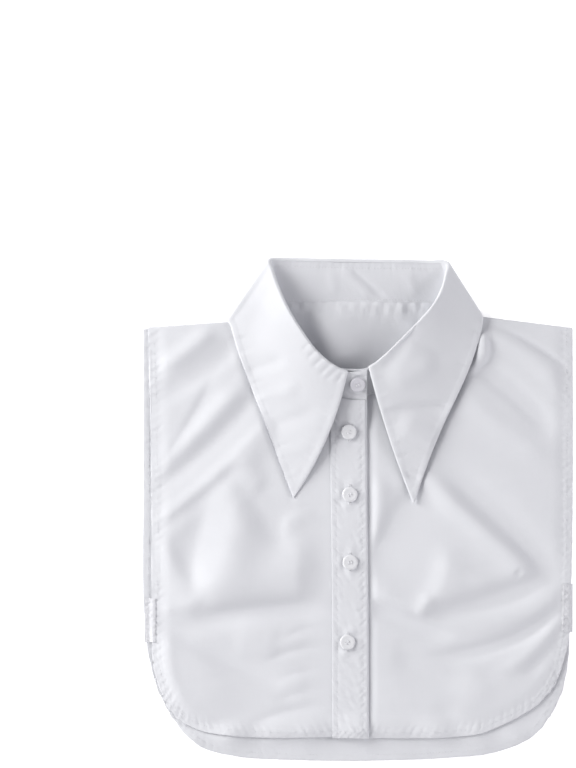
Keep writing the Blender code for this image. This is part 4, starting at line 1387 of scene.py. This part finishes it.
# ---------------------------------------------------------------- the garment

POPLIN = poplin("white poplin", PANEL_CRUMPLE)
POPLIN_COLLAR = poplin("white poplin, fused", COLLAR_CRUMPLE)
TAPE = tape_weave()
RESIN = button_resin("white resin", RESIN_TONES)
# Darker resin for the stand button only: painted shade
PAINTED_SHADE_RESIN = button_resin("resin with painted shade", PAINTED_SHADE_TONES)
THREAD = twisted_thread()

back = BackPanel()
front_right = FrontPanel(FRONT_RIGHT, NECK_OF_RIGHT_FRONT, back, centre_x=7.7, lap=1.0, seed=2.2)
front_left = FrontPanel(FRONT_LEFT, NECK_OF_LEFT_FRONT, back, centre_x=-17.0, lap=0.0, seed=5.1)
placket = Placket(front_right)

back_piece = panel_cloth("back_panel", back, POPLIN)
left_piece = panel_cloth("front_left", front_left, POPLIN)
right_piece = panel_cloth("front_right", front_right, POPLIN)
placket_piece = panel_cloth("placket", placket, POPLIN)

stand_at = collar_stations(0, LAST, STAND_STEP)
stand = stand_surface(stand_at, steps(*STAND_ROWS))
stand_piece = band_cloth("collar_stand", stand, stand_at, POPLIN_COLLAR)
leaf_at = collar_stations(FIRST_LEAF, LAST_LEAF, LEAF_STEP)
leaf = leaf_surface(leaf_at, ROLL_ROWS, steps(*LEAF_ROWS))
leaf = rest_on(leaf, ((front_right, -1.0), (front_left, 1.0)))
leaf_piece = band_cloth("collar_leaf", leaf, leaf_at, POPLIN_COLLAR)

tapes = [Tape(front, back, *strap) for front, strap in zip((front_right, front_left), STRAPS)]
right_tape_piece, left_tape_piece = (panel_cloth(tape.node, tape, TAPE)
                                     for tape in tapes)


def hem_stitching(name, panel):
    threads = bmesh.new()
    line = offset_run(panel.border[::BORDER_SKIP], HEM_STITCH, PANEL_MIDDLE)
    stitch_run(threads, on_panel(line[:, 0], line[:, 1], panel))
    return thread_piece(name, threads)


back_stitching = hem_stitching("back_hem_stitching", back)
right_stitching = hem_stitching("front_right_hem_stitching", front_right)
left_stitching = hem_stitching("front_left_hem_stitching", front_left)

placket_threads = bmesh.new()
placket_y = np.linspace(PLACKET_FOOT + STITCH_END, PLACKET_STITCH_TOP, PLACKET_POINTS)
for inset in (PLACKET_STITCH, PLACKET_WIDTH - PLACKET_STITCH):
    line = on_panel(placket.right_edge(placket_y) - inset, placket_y, placket)
    stitch_run(placket_threads, line)
foot_x = np.linspace(PLACKET_LOW_RIGHT - STITCH_END,
                     PLACKET_LOW_RIGHT - PLACKET_WIDTH + STITCH_END, FOOT_POINTS)
stitch_run(placket_threads, on_panel(foot_x, PLACKET_FOOT + HEM_STITCH, placket))
placket_stitching = thread_piece("placket_stitching", placket_threads)

stand_threads = bmesh.new()
stitched = np.linspace(KNOTS[0] + STAND_STITCH_END, KNOTS[-1] - STAND_STITCH_END, STITCH_POINTS)
levels = steps(*STAND_ROWS)
table = stand_surface(stitched, levels)
normals = surface_normals(table)
width = np.linalg.norm(table[:, -1] - table[:, 0], axis=1)
for shares in (SEAM_STITCH / width, 1.0 - STAND_STITCH / width):
    line = np.array([[np.interp(share, levels, column[:, axis]) for axis in range(3)]
                     for share, column in zip(shares, table)])
    row = np.abs(levels[None, :] - shares[:, None]).argmin(axis=1)
    normal = normals[np.arange(len(stitched)), row]
    normal = normal * np.sign(normal[:, 2:])
    line = line + normal * (0.5 * COLLAR_WALL + STITCH_LIFT)
    stitch_run(stand_threads, line, normals=normal)
stand_stitching = thread_piece("stand_stitching", stand_threads)

tape_threads = bmesh.new()
for tape in tapes:
    inner, outer = tape.edges
    line_x = np.linspace(inner + TAPE_STITCH_INSET, outer - TAPE_STITCH_INSET, TAPE_POINTS)
    for end in tape.span:
        inwards = np.sign(sum(tape.span) - 2.0 * end)
        for step in TAPE_STITCH_ROWS:
            line = on_panel(line_x, end + step * inwards, tape)
            stitch_run(tape_threads, line, TAPE_STITCH_PITCH, TAPE_THREAD)
tape_stitching = thread_piece("tape_stitching", tape_threads)

for name, x, y, turn in PLACKET_BUTTONS:
    make_buttonhole("buttonhole_" + name[-1], placket, x, y)
    seat = Vector((x, y, highest(placket, x, y, BUTTON_RADIUS) + BUTTON_REST))
    button, strands = make_button(name, seat, turn, RESIN)
lap = COLLAR_SECTIONS[0]
rise = lap.top[2] - lap.neck[2]
run = lap.top[1] - lap.neck[1]
slope = math.atan2(rise, run)
seat = Vector((STAND_BUTTON_X,
               lap.neck[1] + STAND_BUTTON_RISE * run - STAND_BUTTON_LIFT * math.sin(slope),
               lap.neck[2] + STAND_BUTTON_RISE * rise + STAND_BUTTON_LIFT * math.cos(slope)))
# The stand button takes the darker resin, which is painted shade
stand_button, stand_strands = make_button("button_stand", seat, STAND_BUTTON_TURN, PAINTED_SHADE_RESIN,
                                          tilt=slope)


# ---------------------------------------------------------------- floor, light and camera

ground = bmesh.new()
bmesh.ops.create_grid(ground, x_segments=8, y_segments=8, size=FLOOR_HALF,
                      matrix=Matrix.Translation((0.0, 0.0, -FLOOR_DROP * MM)))
floor = add_object("floor", finished_mesh("floor", ground))
floor.data.materials.append(plain_paper())


def soft_light(name, turn, rise, strength, size, colour):
    """Square soft light at a turn and a rise in degrees, aimed at the garment's middle."""
    turn = math.radians(turn)
    rise = math.radians(rise)
    way = Vector((math.cos(turn) * math.cos(rise), math.sin(turn) * math.cos(rise),
                  math.sin(rise)))
    lamp = bpy.data.lights.new(name, "AREA")
    lamp.size = size
    lamp.energy = strength * (math.pi * LIGHT_DISTANCE) ** 2
    lamp.color = colour
    light = add_object(name, lamp)
    light.location = LIGHT_DISTANCE * way
    light.rotation_euler = (-way).to_track_quat("-Z", "Y").to_euler()


for light in LIGHTS:
    soft_light(*light)

scene = bpy.context.scene
scene.world = scene.world or bpy.data.worlds.new("studio")
scene.world.use_nodes = True
backdrop = next(node for node in scene.world.node_tree.nodes if node.type == "BACKGROUND")
backdrop.inputs["Color"].default_value = AMBIENT_COLOUR
backdrop.inputs["Strength"].default_value = AMBIENT

scene.view_settings.view_transform = "Standard"
scene.view_settings.look = "None"

lens = bpy.data.cameras.new("camera")
lens.sensor_width = SENSOR
lens.lens = SENSOR * CAMERA_HEIGHT / VIEW_HEIGHT
camera = add_object("camera", lens)
camera.location = (VIEW_MIDDLE[0] * MM, VIEW_MIDDLE[1] * MM, CAMERA_HEIGHT * MM)
scene.camera = camera
